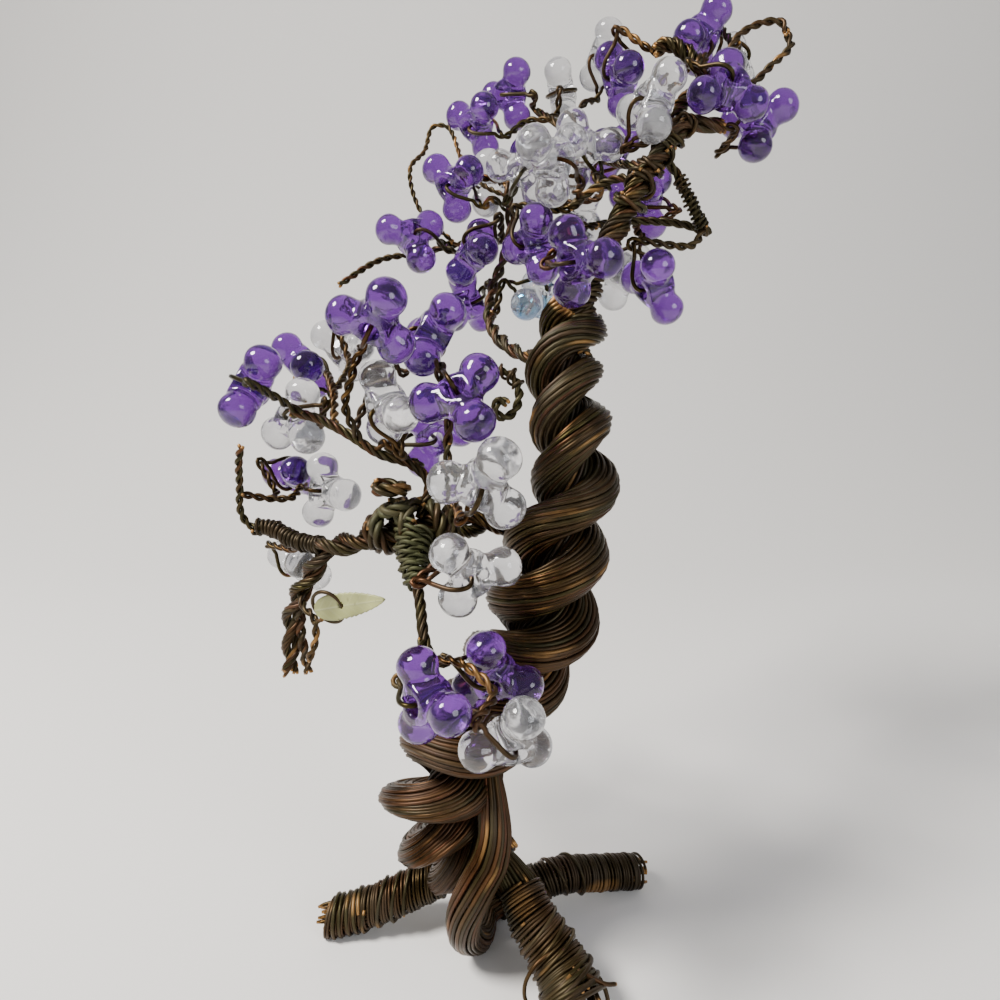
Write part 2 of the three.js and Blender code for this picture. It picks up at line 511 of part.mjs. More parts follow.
const middleRoute = [[-3.6, -4.6, 69.4], [-3.8, -5.6, 67], [-3.6, -6.6, 63], [-3.2, -7.4, 59],
  [-2.8, -7.6, 56.4], [-4.4, -8, 54.6]];
addNode('middle_twig', clearOfLimb(join([
  strand(middleRoute, twigWidth),
  holdBead('bead_purple_centre', [[-3.8, -5.6, 67], [-3.6, -5.8, 69]]),
  holdBead('bead_clear_front', [[-3.4, -7, 61], [-2.4, -10, 60.6]]),
  holdBead('bead_clear_hook', [[-2.8, -7.6, 56.4], [-3.2, -8.4, 55.6]]),
])), copper);

const lowerRoute = [[-8, -4.4, 55.6], [-7.6, -6.6, 52.8], [-6.8, -9.4, 49.8], [-6.2, -12, 47],
  [-5.4, -13.6, 45]];
addNode('lower_twig', clearOfLimb(join([
  strand(lowerRoute, coilWidth),
  holdBead('bead_purple_low_left', [[-6.3, -12.2, 46.9], [-6.6, -14, 45.8]]),
  holdBead('bead_purple_low_middle', [[-5.4, -13.6, 45], [-3.6, -13.6, 44.6]]),
  holdBead('bead_clear_low', [[-5.4, -13.6, 45], [-1.8, -16.8, 46], [1.4, -18.8, 43.8]]),
])), copper);

// Leaf charm: a thin pointed leaf, slightly cupped, with a hole near its stalk end.
function leafCharm() {
  const edge = new THREE.Path();
  edge.moveTo(-1.4, 0);
  edge.quadraticCurveTo(0.6, leafWidth * 0.62, leafLength * 0.5, leafWidth * 0.42);
  edge.quadraticCurveTo(leafLength * 0.74, leafWidth * 0.34, leafLength, 0);
  const upper = edge.getPoints(4);
  const lower = upper.slice(1, -1).reverse().map((p) => new THREE.Vector2(p.x, -p.y));
  const outline = new THREE.Shape([...upper, ...lower].reverse());
  const hole = [];
  for (let i = 0; i < 6; i += 1) {
    hole.push(new THREE.Vector2(loopWire / 2 + clearance, 0)
      .rotateAround(new THREE.Vector2(), (Math.PI * i) / 3));
  }
  outline.holes.push(new THREE.Path(hole));
  const leaf = new THREE.ExtrudeGeometry(outline, { depth: leafThick, bevelEnabled: false });
  leaf.translate(0, 0, -leafThick / 2);
  leaf.deleteAttribute('normal');
  leaf.deleteAttribute('uv');
  const merged = mergeVertices(leaf, 1e-4);
  merged.computeVertexNormals();
  return merged;
}
const leaf = new THREE.Mesh(leafCharm(), leafGreen);
leaf.name = 'leaf_charm';
leaf.position.set(...leafHole);
leaf.rotation.set(Math.PI / 2, -0.28, -0.45, 'ZYX');
tree.add(leaf);

export default tree;
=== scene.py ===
"""Wire tree with three-lobed beads: the looks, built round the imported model."""
from math import radians, tau

import bpy
import numpy as np
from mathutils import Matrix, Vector


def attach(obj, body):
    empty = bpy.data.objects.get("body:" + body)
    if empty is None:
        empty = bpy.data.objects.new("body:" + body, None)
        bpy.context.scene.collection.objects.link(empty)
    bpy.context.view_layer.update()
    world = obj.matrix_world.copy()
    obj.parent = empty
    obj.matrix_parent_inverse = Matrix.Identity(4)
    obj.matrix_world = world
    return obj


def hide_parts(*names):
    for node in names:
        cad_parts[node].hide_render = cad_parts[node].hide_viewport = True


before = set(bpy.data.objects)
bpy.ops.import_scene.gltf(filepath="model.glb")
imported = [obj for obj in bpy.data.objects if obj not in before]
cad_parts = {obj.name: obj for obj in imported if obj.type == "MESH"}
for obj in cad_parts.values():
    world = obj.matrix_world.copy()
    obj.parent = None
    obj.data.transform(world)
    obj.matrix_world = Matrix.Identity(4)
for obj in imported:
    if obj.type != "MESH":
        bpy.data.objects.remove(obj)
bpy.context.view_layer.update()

# Trunk. Two bundles of old copper wire, some thirty strands in each, laid round each other by
# hand. The strands run side by side along their bundle, and air and handling have turned them
# olive brown with redder, brighter metal where they rub. All lengths are in millimetres.
strand_wire = 0.56
gap_between_bundles = 0.3
strands_in_bundle = 34
bundle_step = 0.9
# The trunk's inner tube is near black: painted shade that shows between the strands.
core_depth, core_sides, painted_shade_tone = 0.55, 12, 0.012
dark_below, twist_below = 47, 30
filler_core_wire, filler_strands, filler_reach, filler_pitch = 2.2, 14, 1.32, 26
trunk_stations = [  # middle of the trunk, half width, half height of a bundle, length of one turn
    ((0.8, 0.3, 8.2), 5.2, 1.85, 10.5), ((-3, -1.2, 12.6), 6.3, 1.85, 10.5),
    ((-6.2, -2.6, 20), 7.4, 1.55, 11), ((-4.2, -3.4, 27), 7.1, 2.25, 15),
    ((0.6, -4.2, 34), 6.7, 2.6, 16), ((4.2, -4.8, 41), 6.9, 2.55, 15),
    ((7.2, -5, 48), 7.1, 2.5, 15), ((8.8, -4.4, 56), 6.2, 2.6, 17),
    ((10.8, -3, 63), 5.2, 2.2, 14.5), ((10.2, 0, 70), 4.9, 2.05, 12.8),
    ((9.8, 3, 76), 4.7, 1.95, 12.8), ((11.5, 6, 81.5), 4.2, 1.8, 12.8),
]


def unit(vectors):
    return vectors / np.linalg.norm(vectors, axis=-1, keepdims=True)


def spline(points, places):
    """Points on the smooth curve through points. Place 2.5 is half way from the third to the fourth."""
    p = np.asarray(points, float)
    p = np.vstack([2 * p[0] - p[1], p, 2 * p[-1] - p[-2]])
    first = np.clip(places.astype(int), 0, len(points) - 2)
    w = (places - first)[:, None]
    a, b, c, d = (p[first + k] for k in range(4))
    ab, bc, cd = (np.sqrt(np.linalg.norm(n - m, axis=1))[:, None] for m, n in ((a, b), (b, c), (c, d)))
    leave = bc * ((b - a) / ab - (c - a) / (ab + bc) + (c - b) / bc)
    arrive = bc * ((c - b) / bc - (d - b) / (bc + cd) + (d - c) / cd)
    return ((2 * w**3 - 3 * w**2 + 1) * b + (w**3 - 2 * w**2 + w) * leave
            + (3 * w**2 - 2 * w**3) * c + (w**3 - w**2) * arrive)


def lengths(line):
    return np.concatenate([[0], np.cumsum(np.linalg.norm(np.diff(line, axis=0), axis=1))])


def even(line, step):
    """The same line in even steps."""
    along = lengths(line)
    wanted = np.linspace(0, along[-1], max(3, round(along[-1] / step) + 1))
    return np.stack([np.interp(wanted, along, line[:, k]) for k in range(3)], axis=1)


def bent(points, step=0.6):
    """A wire bent smoothly through points."""
    return even(spline(points, np.linspace(0, len(points) - 1, 24 * len(points))), step)


def carried(line):
    """The way ahead at each point of a line, and two directions across it that never spin."""
    ahead = unit(np.gradient(line, axis=0))
    side = np.empty_like(line)
    side[0] = np.cross(ahead[0], np.eye(3)[np.argmin(np.abs(ahead[0]))])
    side[0] /= np.linalg.norm(side[0])
    for i in range(1, len(line)):
        across = side[i - 1] - ahead[i] * side[i - 1].dot(ahead[i])
        side[i] = across / np.sqrt(across.dot(across))
    return ahead, side, np.cross(ahead, side)


def laid_round(line, radius, pitch, phase):
    """A wire that winds right-handed round a line, once in each pitch."""
    _, side, up = carried(line)
    angle = (phase + tau * lengths(line) / pitch)[:, None]
    radius = np.broadcast_to(radius, len(line))[:, None]
    return line + radius * (side * np.cos(angle) + up * np.sin(angle))


def mottle(points, size, seed):
    """A soft patchy value from about -1 to 1, with patches of about that size."""
    rng = np.random.default_rng(seed)
    waves = unit(rng.normal(size=(7, 3))) * tau / (size * rng.uniform(0.9, 2.4, (7, 1)))
    return np.sin(points @ waves.T + rng.uniform(0, tau, 7)).sum(axis=1) / 3


olive = np.array([0.036, 0.029, 0.008])
brown = np.array([0.034, 0.020, 0.007])
red_copper = np.array([0.100, 0.030, 0.010])
bright_copper = np.array([0.420, 0.220, 0.070])


def wire_tone(line, rng, reddish=0.2, light=1.0):
    """The colour along one strand: olive to brown, with redder stretches and a few rubbed ones."""
    seed = int(rng.integers(1 << 30))
    base = olive + (brown - olive) * rng.uniform(0, 1)
    red = np.clip(reddish + 0.28 * mottle(line, 9, seed) + rng.normal(-0.06, 0.12), 0, 0.8)[:, None]
    rubbed = np.clip(mottle(line, 5, seed + 1) - 1.0, 0, 0.6)[:, None]
    tone = base * (1 - red) + red_copper * red
    tone = tone * (1 - rubbed) + bright_copper * rubbed
    return tone * light * rng.uniform(0.75, 1.2)


class Skein:
    """Wires gathered into one piece of the tree."""

    def __init__(self):
        self.vertices, self.faces, self.tones, self.dull, self.count = [], [], [], [], 0

    def add(self, line, wire, tone, dull=0.4, sides=6, fresh_ends=True):
        """One wire along a line, with its colour and its dullness from 0 to 1, and bright cut ends."""
        _, side, up = carried(line)
        half = np.broadcast_to(np.asarray(wire, float) / 2, len(line)).copy()
        tone = np.broadcast_to(tone, (len(line), 3)).copy()
        dull = np.broadcast_to(dull, len(line)).copy()
        line = line.copy()
        half[[0, -1]] *= 0.75
        if fresh_ends:
            tone[[0, -1]] = bright_copper
        around = np.arange(sides) * tau / sides
        spoke = side[:, None] * np.cos(around)[:, None] + up[:, None] * np.sin(around)[:, None]
        self.vertices.append((line[:, None] + half[:, None, None] * spoke).reshape(-1, 3))
        ring = self.count + np.arange(len(line) - 1)[:, None] * sides
        here, beside = np.arange(sides), (np.arange(sides) + 1) % sides
        quads = np.stack([ring + here, ring + beside, ring + sides + beside, ring + sides + here], 2)
        self.faces += quads.reshape(-1, 4).tolist()
        last = self.count + (len(line) - 1) * sides
        self.faces += [(self.count + here[::-1]).tolist(), (last + here).tolist()]
        self.tones.append(np.repeat(tone, sides, axis=0))
        self.dull.append(np.repeat(dull, sides))
        self.count += len(line) * sides

    def piece(self, name, finish, slot, *nodes):
        mesh_piece(name, np.vstack(self.vertices), self.faces, finish, nodes,
                   np.vstack(self.tones), np.concatenate(self.dull))


def mesh_piece(name, vertices, faces, finish, nodes, tones=None, dull=None):
    """A piece in the place of the named solids, from vertices in millimetres."""
    mesh = bpy.data.meshes.new(name)
    mesh.from_pydata((np.asarray(vertices) / 1000).tolist(), [], faces)
    if tones is not None:
        colour = mesh.attributes.new("tone", "FLOAT_COLOR", "POINT")
        colour.data.foreach_set("color", np.c_[tones, np.ones(len(tones))].ravel())
        mesh.attributes.new("dull", "FLOAT", "POINT").data.foreach_set("value", dull)
    mesh.shade_smooth()
    mesh.materials.append(finish)
    piece = bpy.data.objects.new(name, mesh)
    bpy.context.scene.collection.objects.link(piece)
    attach(piece, "root")
    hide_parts(*nodes)


def shader_of(finish):
    """The nodes, the links and the surface shader of a new finish."""
    finish.use_nodes = True
    tree = finish.node_tree
    return tree.nodes, tree.links, tree.nodes["Principled BSDF"]


def new_node(nodes, kind, values):
    """A new node of one kind, with values on its sockets."""
    node = nodes.new(kind)
    for socket, value in values.items():
        node.inputs[socket].default_value = value
    return node


def rough_skin(nodes, links, shader, height, strength, depth):
    """Fine relief from a node's pattern, with its depth in metres."""
    bump = new_node(nodes, "ShaderNodeBump", {"Strength": strength, "Distance": depth})
    links.new(height.outputs["Fac"], bump.inputs["Height"])
    links.new(bump.outputs["Normal"], shader.inputs["Normal"])


def old_copper():
    """Brown metal with a thin dull film: the strand's own colour, broken up finely."""
    finish = bpy.data.materials.new("old_copper_wire")
    nodes, links, shader = shader_of(finish)
    tone = nodes.new("ShaderNodeAttribute")
    tone.attribute_name = "tone"
    dull = nodes.new("ShaderNodeAttribute")
    dull.attribute_name = "dull"
    place = nodes.new("ShaderNodeTexCoord")
    grain = new_node(nodes, "ShaderNodeTexNoise", {"Scale": 900, "Detail": 4})
    links.new(place.outputs["Object"], grain.inputs["Vector"])
    strength = new_node(nodes, "ShaderNodeMapRange", {"To Min": 0.55, "To Max": 1.5})
    links.new(grain.outputs["Fac"], strength.inputs["Value"])
    colour = nodes.new("ShaderNodeVectorMath")
    colour.operation = "SCALE"
    links.new(tone.outputs["Color"], colour.inputs[0])
    links.new(strength.outputs["Result"], colour.inputs["Scale"])
    links.new(colour.outputs["Vector"], shader.inputs["Base Color"])
    metal = new_node(nodes, "ShaderNodeMapRange", {"To Min": 1.0, "To Max": 0.35})
    links.new(dull.outputs["Fac"], metal.inputs["Value"])
    links.new(metal.outputs["Result"], shader.inputs["Metallic"])
    film = new_node(nodes, "ShaderNodeMapRange", {"To Min": 0.16, "To Max": 0.40})
    links.new(grain.outputs["Fac"], film.inputs["Value"])
    rough = new_node(nodes, "ShaderNodeMath", {1: 0.35})
    rough.operation = "MULTIPLY_ADD"
    links.new(dull.outputs["Fac"], rough.inputs[0])
    links.new(film.outputs["Result"], rough.inputs[2])
    links.new(rough.outputs["Value"], shader.inputs["Roughness"])
    rough_skin(nodes, links, shader, grain, 0.25, 0.00004)
    return finish


wire_finish = old_copper()


def trunk_bundle(start_angle, seed):
    """One bundle of the trunk: its strands side by side round a near-black tube, which is painted shade
    showing in the gaps.
    """
    samples = 1600
    last = len(trunk_stations) - 1
    places = np.linspace(0, last, samples + 1)
    middle = spline([s[0] for s in trunk_stations], places)
    half, thick, turn = (np.interp(places, np.arange(last + 1), [s[k] for s in trunk_stations])
                         for k in (1, 2, 3))
    steps = np.linalg.norm(np.diff(middle, axis=0), axis=1)
    angle = radians(start_angle) + np.concatenate([[0], np.cumsum(tau * steps / turn[1:])])
    ahead = unit(np.gradient(middle, axis=0))
    right = unit(np.eye(3)[0] - ahead * ahead[:, :1])
    back = np.cross(ahead, right)
    out = right * np.cos(angle)[:, None] + back * np.sin(angle)[:, None]
    offset = (half + gap_between_bundles) / 2
    line = middle + out * offset[:, None]
    along = lengths(line)
    wanted = np.linspace(0, along[-1], round(along[-1] / bundle_step))
    pick = np.interp(wanted, along, np.arange(samples + 1)).round().astype(int)
    line, out = line[pick], out[pick]
    half_out, half_up = (half - offset)[pick], thick[pick]
    ahead = unit(np.gradient(line, axis=0))
    across = unit(out - ahead * (out * ahead).sum(1, keepdims=True))
    up = np.cross(ahead, across)
    rng = np.random.default_rng(seed)
    skein = Skein()
    r = strand_wire / 2
    height = line[:, 2]
    lower = 1 / (1 + np.exp((height - dark_below) / 8))
    foot = 1 / (1 + np.exp((height - twist_below) / 3))
    twist = np.cumsum(0.03 + 0.17 * foot) * 0.9
    for k in range(strands_in_bundle):
        turned = (tau * k / strands_in_bundle - twist
                  + 0.04 * np.sin(wanted / 7 + rng.uniform(0, tau)))
        sink = rng.uniform(0, 0.10) + 0.09 * np.sin(wanted / rng.uniform(4, 9) + rng.uniform(0, tau))
        crowd = strands_in_bundle * strand_wire / (tau * np.sqrt((half_out**2 + half_up**2) / 2)) - 1
        sink = sink + (k % 2) * np.clip(crowd, 0, 1) * 0.5
        way = (line + across * ((half_out - r - sink) * np.cos(turned))[:, None]
               + up * ((half_up - r - sink) * np.sin(turned))[:, None])
        tone = wire_tone(way, rng, 0.0) * (1 - 0.35 * lower[:, None])
        redder = lower * np.clip(0.5 + 0.5 * mottle(way, 12, seed + k), 0, 1)
        tone += (red_copper * 0.5) * redder[:, None]
        skein.add(way, strand_wire, tone, np.clip(0.45 + 0.3 * mottle(way, 6, seed), 0.05, 0.9))
    # A near-black tube inside the strands, as painted shade that shows dark in the gaps between them.
    ring = np.linspace(0, tau, core_sides + 1)[:-1]
    core_out, core_up = (half_out - core_depth)[:, None, None], (half_up - core_depth)[:, None, None]
    shade_tube = (line[:, None] + across[:, None] * core_out * np.cos(ring)[:, None]
            + up[:, None] * core_up * np.sin(ring)[:, None])
    first, rows = skein.count, len(line)
    skein.vertices.append(shade_tube.reshape(-1, 3))
    for i in range(rows - 1):
        for j in range(core_sides):
            a, b = first + i * core_sides + j, first + i * core_sides + (j + 1) % core_sides
            skein.faces.append((a, b, b + core_sides, a + core_sides))
    skein.faces += [tuple(first + j for j in reversed(range(core_sides))),
                    tuple(first + (rows - 1) * core_sides + j for j in range(core_sides))]
    skein.tones.append(np.full((rows * core_sides, 3), painted_shade_tone))
    skein.dull.append(np.full(rows * core_sides, 0.9))
    skein.count += rows * core_sides
    return skein


def fill_between_bundles(skein):
    """Strands along the trunk's middle, seen only in the valleys between the bundles, made near black and
    darker as painted shade.
    """
    rng = np.random.default_rng(13)
    middle = even(spline([s[0] for s in trunk_stations], np.linspace(0.5, 10.6, 600)), bundle_step)
    # The near-black middle wire and the darker strands round it are painted shade in the valleys.
    skein.add(middle, filler_core_wire, (0.012, 0.009, 0.006), 0.9, sides=10, fresh_ends=False)
    for k in range(filler_strands):
        line = laid_round(middle, filler_reach, filler_pitch, tau * k / filler_strands)
        skein.add(line, strand_wire, wire_tone(line, rng, 0.1, 0.55), 0.6, sides=5, fresh_ends=False)
    return skein


first_bundle = fill_between_bundles(trunk_bundle(20, 11))
first_bundle.piece("trunk_wires_a", wire_finish, "copper_wire", "trunk_bundle_a")
trunk_bundle(200, 12).piece("trunk_wires_b", wire_finish, "copper_wire", "trunk_bundle_b")

# Roots. The strands fan out under the trunk into three roots, each wound closely with thin wire
# from its shoulder to near its tip, where the cut ends of the strands stick out. The right root
# starts as a loop of bare strands that comes down the front of the trunk and turns under it.
binding_wire = 0.42
strands_within, loose_tip = 8, 1.8
root_routes = {
    "left": [(-4.6, 1.2, 7.6), (-8, 0.8, 6.2), (-13, 0, 4.2), (-18, -0.6, 2.6), (-22.6, -1, 1.9)],
    "right": [(0.7, -9.1, 16.6), (-0.8, -9.7, 13.8), (-2.2, -9.2, 10), (-2.4, -7.6, 5.6), (-1, -4.9, 2.4),
              (-0.5, -2.4, 1.9), (-0.1, 0.2, 1.9), (2.2, 2.4, 2.2), (6, 3.6, 3.4), (10, 4.6, 4.2),
              (16, 6.3, 3.3), (23.6, 8.4, 1.95)],
    "front": [(4.6, -4.2, 9.4), (6.2, -7.6, 7.4), (9, -11.2, 5), (10.3, -14.2, 3.7), (10.6, -17.2, 3)],
}


def lie_on_table(line, wire):
    """The same line, kept above the surface that the tree stands on."""
    line = line.copy()
    line[:, 2] = np.maximum(line[:, 2], wire / 2)
    return line


def root(side, shoulder, widths, bound, tilt, seed, strands=20, reddish=0.2, light=1.0):
    """One root. shoulder leads its strands down out of the trunk, bound is the stretch, as shares
    of the route, that the winding covers, and tilt is how far its turns lean."""
    route = bent(root_routes[side], 0.25)
    along = lengths(route)
    share = along / along[-1]
    width = np.interp(share, [0, 1], widths)
    ahead, across, up = carried(route)
    rng = np.random.default_rng(seed)
    skein = Skein()

    lead = spline(list(shoulder) + [route[0], route[4]], np.linspace(0, len(shoulder), 60))
    lead = even(lead, 0.5)
    whole = np.vstack([lead[:-1], route[::3]])
    room = np.concatenate([np.linspace(0.7, 1, len(lead) - 1) * widths[0], width[::3]]) / 2
    _, whole_side, whole_up = carried(whole)
    walked = lengths(whole)
    free = np.clip((walked - walked[-1] + loose_tip) / loose_tip, 0, 1) ** 2
    for k in range(strands + strands_within):
        inner = k >= strands
        part = 0.45 if inner else 1.0
        turned = tau * k / (strands_within if inner else strands) + walked / 30 + rng.normal(0, 0.04)
        reach = (room - strand_wire / 2 - binding_wire - 0.1) * part
        if side == "right":
            reach = reach + np.clip(1 - walked / walked[-1] * 2.2, 0, 0.35) * part
        reach = reach + free * rng.uniform(-0.3, 0.5) + 0.06 * np.sin(walked / 3 + rng.uniform(0, tau))
        way = (whole + whole_side * (reach * np.cos(turned))[:, None]
               + whole_up * (reach * np.sin(turned))[:, None])
        way = way[: len(way) - int(rng.integers(0, 4))]
        skein.add(lie_on_table(way, strand_wire), strand_wire, wire_tone(way, rng, reddish, light),
                  np.clip(0.4 + 0.3 * mottle(way, 5, seed), 0.05, 0.9))

    def winding(start, stop, wire, pitch, lift, lean, phase, gold=1.0):
        """Thin wire wound round the root from one share of its route to another."""
        inside = (share >= start) & (share <= stop)
        path, room_here = route[inside], width[inside] / 2
        turns = (along[inside][-1] - along[inside][0]) / pitch
        places = np.linspace(0, 1, int(turns * 30) + 2)
        spread = np.linspace(0, 1, len(path))
        pick = lambda values: np.stack([np.interp(places, spread, values[:, k]) for k in range(3)], 1)
        centre, forward, sideways, upward = (
            pick(values) for values in (path, ahead[inside], across[inside], up[inside]))
        angle = tau * turns * places + phase
        fat = np.interp(places, spread, room_here) - wire / 2 + lift
        fat = fat + 0.07 * np.sin(angle / 5.3 + seed) + 0.05 * np.sin(angle / 2.1)
        creep = 0.10 * np.sin(angle / 3.7 + 1.3 * seed) + lean * fat * np.cos(angle - 0.6)
        line = (centre + sideways * (fat * np.cos(angle))[:, None] + upward * (fat * np.sin(angle))[:, None]
                + forward * creep[:, None])
        line = lie_on_table(line, wire)
        skein.add(line, wire, wire_tone(line, rng, reddish * 0.4, light * gold),
                  np.clip(0.5 + 0.3 * mottle(line, 3, seed + 5), 0.1, 0.95), sides=5)

    winding(*bound, binding_wire, binding_wire * 1.04, 0, tilt, 0.0)
    return skein, winding


left_root, wind_left = root(
    "left", [(-0.5, 0.4, 12), (-2, 0.8, 9.6)], widths=(5.6, 5.0), bound=(0.04, 0.93), tilt=0.35, seed=21)
wind_left(0.30, 0.62, 0.5, 1.9, 0.35, 0.7, 1.0)
wind_left(0.66, 0.90, 0.52, 0.9, 0.3, 0.25, 2.0)
left_root.piece("root_wires_left", wire_finish, "copper_wire", "root_left")

right_root, wind_right = root(
    "right", [(0.6, -4.2, 26), (1.2, -6.4, 22.6), (1.4, -8.2, 19.6)], widths=(5.0, 5.1), bound=(0.50, 0.97),
    tilt=0.1, seed=22, strands=24, reddish=0.3)
wind_right(0.6, 0.78, 0.46, 2.6, 0.3, 0.2, 1.0)
right_root.piece("root_wires_right", wire_finish, "copper_wire", "root_right")

front_root, wind_front = root(
    "front", [(0.2, -1.4, 13.6), (2.6, -2.9, 11.8)], widths=(5.8, 7.6), bound=(0.0, 0.80),
    tilt=0.22, seed=23, strands=24, reddish=0.0, light=1.15)
wind_front(0.22, 0.60, 0.44, 1.7, 0.25, 0.35, 0.5, 1.2)
wind_front(0.60, 0.90, 0.60, 0.85, 0.12, 0.45, 2.0, 1.1)
wind_front(0.66, 0.95, 0.60, 1.3, 0.45, 0.65, 0.0, 1.1)
rng = np.random.default_rng(31)
for points, wire in (
        ([(8.2, -12.6, 7.6), (6.2, -13.6, 6.6), (5.0, -14.2, 4.6), (5.1, -14.6, 2.6), (6.4, -15.2, 1.6),
          (8.2, -16, 2.4)], 0.5),
        ([(10.4, -14.2, 7.0), (12.4, -15.2, 6.6), (14.2, -15.2, 5.6), (15.6, -14.6, 5.0)], strand_wire),
        ([(12.2, -13.4, 6.4), (13.9, -14.2, 5.0), (14.6, -15.4, 3.2), (14.2, -16.4, 1.6)], strand_wire)):
    loose = lie_on_table(bent(points, 0.3), wire)
    front_root.add(loose, wire, wire_tone(loose, rng, 0.1, 1.15), 0.4)
front_root.piece("root_wires_front", wire_finish, "copper_wire", "root_front")

# Beads. Three-lobed plastic beads, 11 mm across, moulded clear or purple: three ball-like ends
# on short arms round a thick middle with a 2 mm hole. One of the clear ones has a pearly film.
lobe_reach, lobe_ball, arm_half, arm_blend, lobe_blend = 3.68, 2.05, 1.68, 0.8, 1.1
hub_wide, hub_half, hub_edge, bead_hole, hole_edge = 2.0, 1.95, 0.5, 1.0, 0.35
bead_grid, bead_room = 0.34, (6.6, 6.6, 3.0)


def inside_bead(p):
    """Below zero inside the plastic, in millimetres, with the hole along Z and a lobe along Y."""
    def blend(a, b, soft):
        h = np.clip(0.5 + 0.5 * (b - a) / soft, 0, 1)
        return b + (a - b) * h - soft * h * (1 - h)
    flat = np.hypot(p[:, 0], p[:, 1])
    drum = np.maximum(flat - hub_wide + hub_edge, np.abs(p[:, 2]) - hub_half + hub_edge)
    body = drum - hub_edge
    for k in range(3):
        a = tau * (0.25 + k / 3)
        lobe = np.array([np.cos(a), np.sin(a), 0]) * lobe_reach
        arm = np.clip(p @ lobe / lobe_reach**2, 0, 1)[:, None] * lobe
        body = blend(body, np.linalg.norm(p - arm, axis=1) - arm_half, arm_blend)
        out = (p - lobe) @ lobe / lobe_reach
        flattened = np.sqrt(np.maximum(((p - lobe) ** 2).sum(1) + 0.6 * out**2, 1e-9))
        body = blend(body, flattened - lobe_ball, lobe_blend)
    return -blend(-body, flat - bead_hole, hole_edge)


def bead_skin():
    """The bead's surface: a net over a fine grid, pulled onto the true surface."""
    axes = [np.arange(-r, r + bead_grid, bead_grid) for r in bead_room]
    grid = np.stack(np.meshgrid(*axes, indexing="ij"), -1)
    level = inside_bead(grid.reshape(-1, 3)).reshape(grid.shape[:3])
    corners = [(i, j, k) for i in (0, 1) for j in (0, 1) for k in (0, 1)]
    cells = tuple(n - 1 for n in level.shape)
    take = lambda a, c: a[c[0]:c[0] + cells[0], c[1]:c[1] + cells[1], c[2]:c[2] + cells[2]]
    total, crossings = np.zeros(cells + (3,)), np.zeros(cells)
    for a in corners:
        for b in corners:
            if sum(abs(np.subtract(a, b))) != 1 or a > b:
                continue
            la, lb = take(level, a), take(level, b)
            cut = (la < 0) != (lb < 0)
            share = np.where(cut, la / np.where(cut, la - lb, 1), 0)[..., None]
            total += np.where(cut[..., None], take(grid, a) * (1 - share) + take(grid, b) * share, 0)
            crossings += cut
    used = crossings > 0
    index = np.full(cells, -1)
    index[used] = np.arange(used.sum())
    points = total[used] / crossings[used][:, None]
    faces = []
    for axis in range(3):
        one, two = [(1, 2), (2, 0), (0, 1)][axis]
        span = [slice(1, n) for n in cells]
        span[axis] = slice(0, cells[axis])
        low = level[tuple(span)]
        shifted = list(span)
        shifted[axis] = slice(1, cells[axis] + 1)
        high = level[tuple(shifted)]
        for out in (True, False):
            hit = np.argwhere(((low < 0) & (high >= 0)) if out else ((low >= 0) & (high < 0)))
            hit[:, [one, two]] += 1
            ring = []
            for d1, d2 in ((-1, -1), (0, -1), (0, 0), (-1, 0)):
                at = hit.copy()
                at[:, one] += d1
                at[:, two] += d2
                ring.append(index[tuple(at.T)])
            faces.append(np.stack(ring if out else ring[::-1], 1))
    tiny = 1e-3
    for _ in range(4):
        here = inside_bead(points)
        slope = np.stack([inside_bead(points + tiny * np.eye(3)[k]) - here for k in range(3)], 1) / tiny
        points = points - slope * (here / np.maximum((slope**2).sum(1), 0.2))[:, None]
    return points, np.vstack(faces).tolist()


def plastic(name, colour, rough, film=0.0):
    """Moulded acrylic: see-through, glossy, with faint swirls and handling marks in the surface.
    film is the thickness in nanometres of a pearly coat."""
    finish = bpy.data.materials.new(name)
    nodes, links, shader = shader_of(finish)
    shader.inputs["Transmission Weight"].default_value = 0.93
    shader.inputs["IOR"].default_value = 1.42
    shader.inputs["Coat Weight"].default_value = 0.3
    shader.inputs["Coat Roughness"].default_value = 0.05
    if film:
        shader.inputs["Thin Film Thickness"].default_value = film
        shader.inputs["Thin Film IOR"].default_value = 1.9
    place = nodes.new("ShaderNodeTexCoord")
    swirl = new_node(nodes, "ShaderNodeTexNoise", {"Scale": 260, "Detail": 3, "Distortion": 1.2})
    links.new(place.outputs["Object"], swirl.inputs["Vector"])
    tint = nodes.new("ShaderNodeMix")
    tint.data_type = "RGBA"
    tint.inputs["A"].default_value = (*[c * 0.86 for c in colour], 1)
    tint.inputs["B"].default_value = (*colour, 1)
    links.new(swirl.outputs["Fac"], tint.inputs["Factor"])
    links.new(tint.outputs["Result"], shader.inputs["Base Color"])
    marks = new_node(nodes, "ShaderNodeTexNoise", {"Scale": 1400, "Detail": 2})
    links.new(place.outputs["Object"], marks.inputs["Vector"])
    gloss = new_node(nodes, "ShaderNodeMapRange", {"To Min": rough * 0.4, "To Max": rough * 1.8})
    links.new(marks.outputs["Fac"], gloss.inputs["Value"])
    links.new(gloss.outputs["Result"], shader.inputs["Roughness"])
    rough_skin(nodes, links, shader, swirl, 0.35, 0.0002)
    return finish


purple_plastic = plastic("purple_bead_plastic", (0.185, 0.052, 0.38), 0.09)
clear_plastic = plastic("clear_bead_plastic", (0.80, 0.80, 0.82), 0.09)
pearly_plastic = plastic("pearly_bead_plastic", (0.80, 0.84, 0.90), 0.05, film=182)


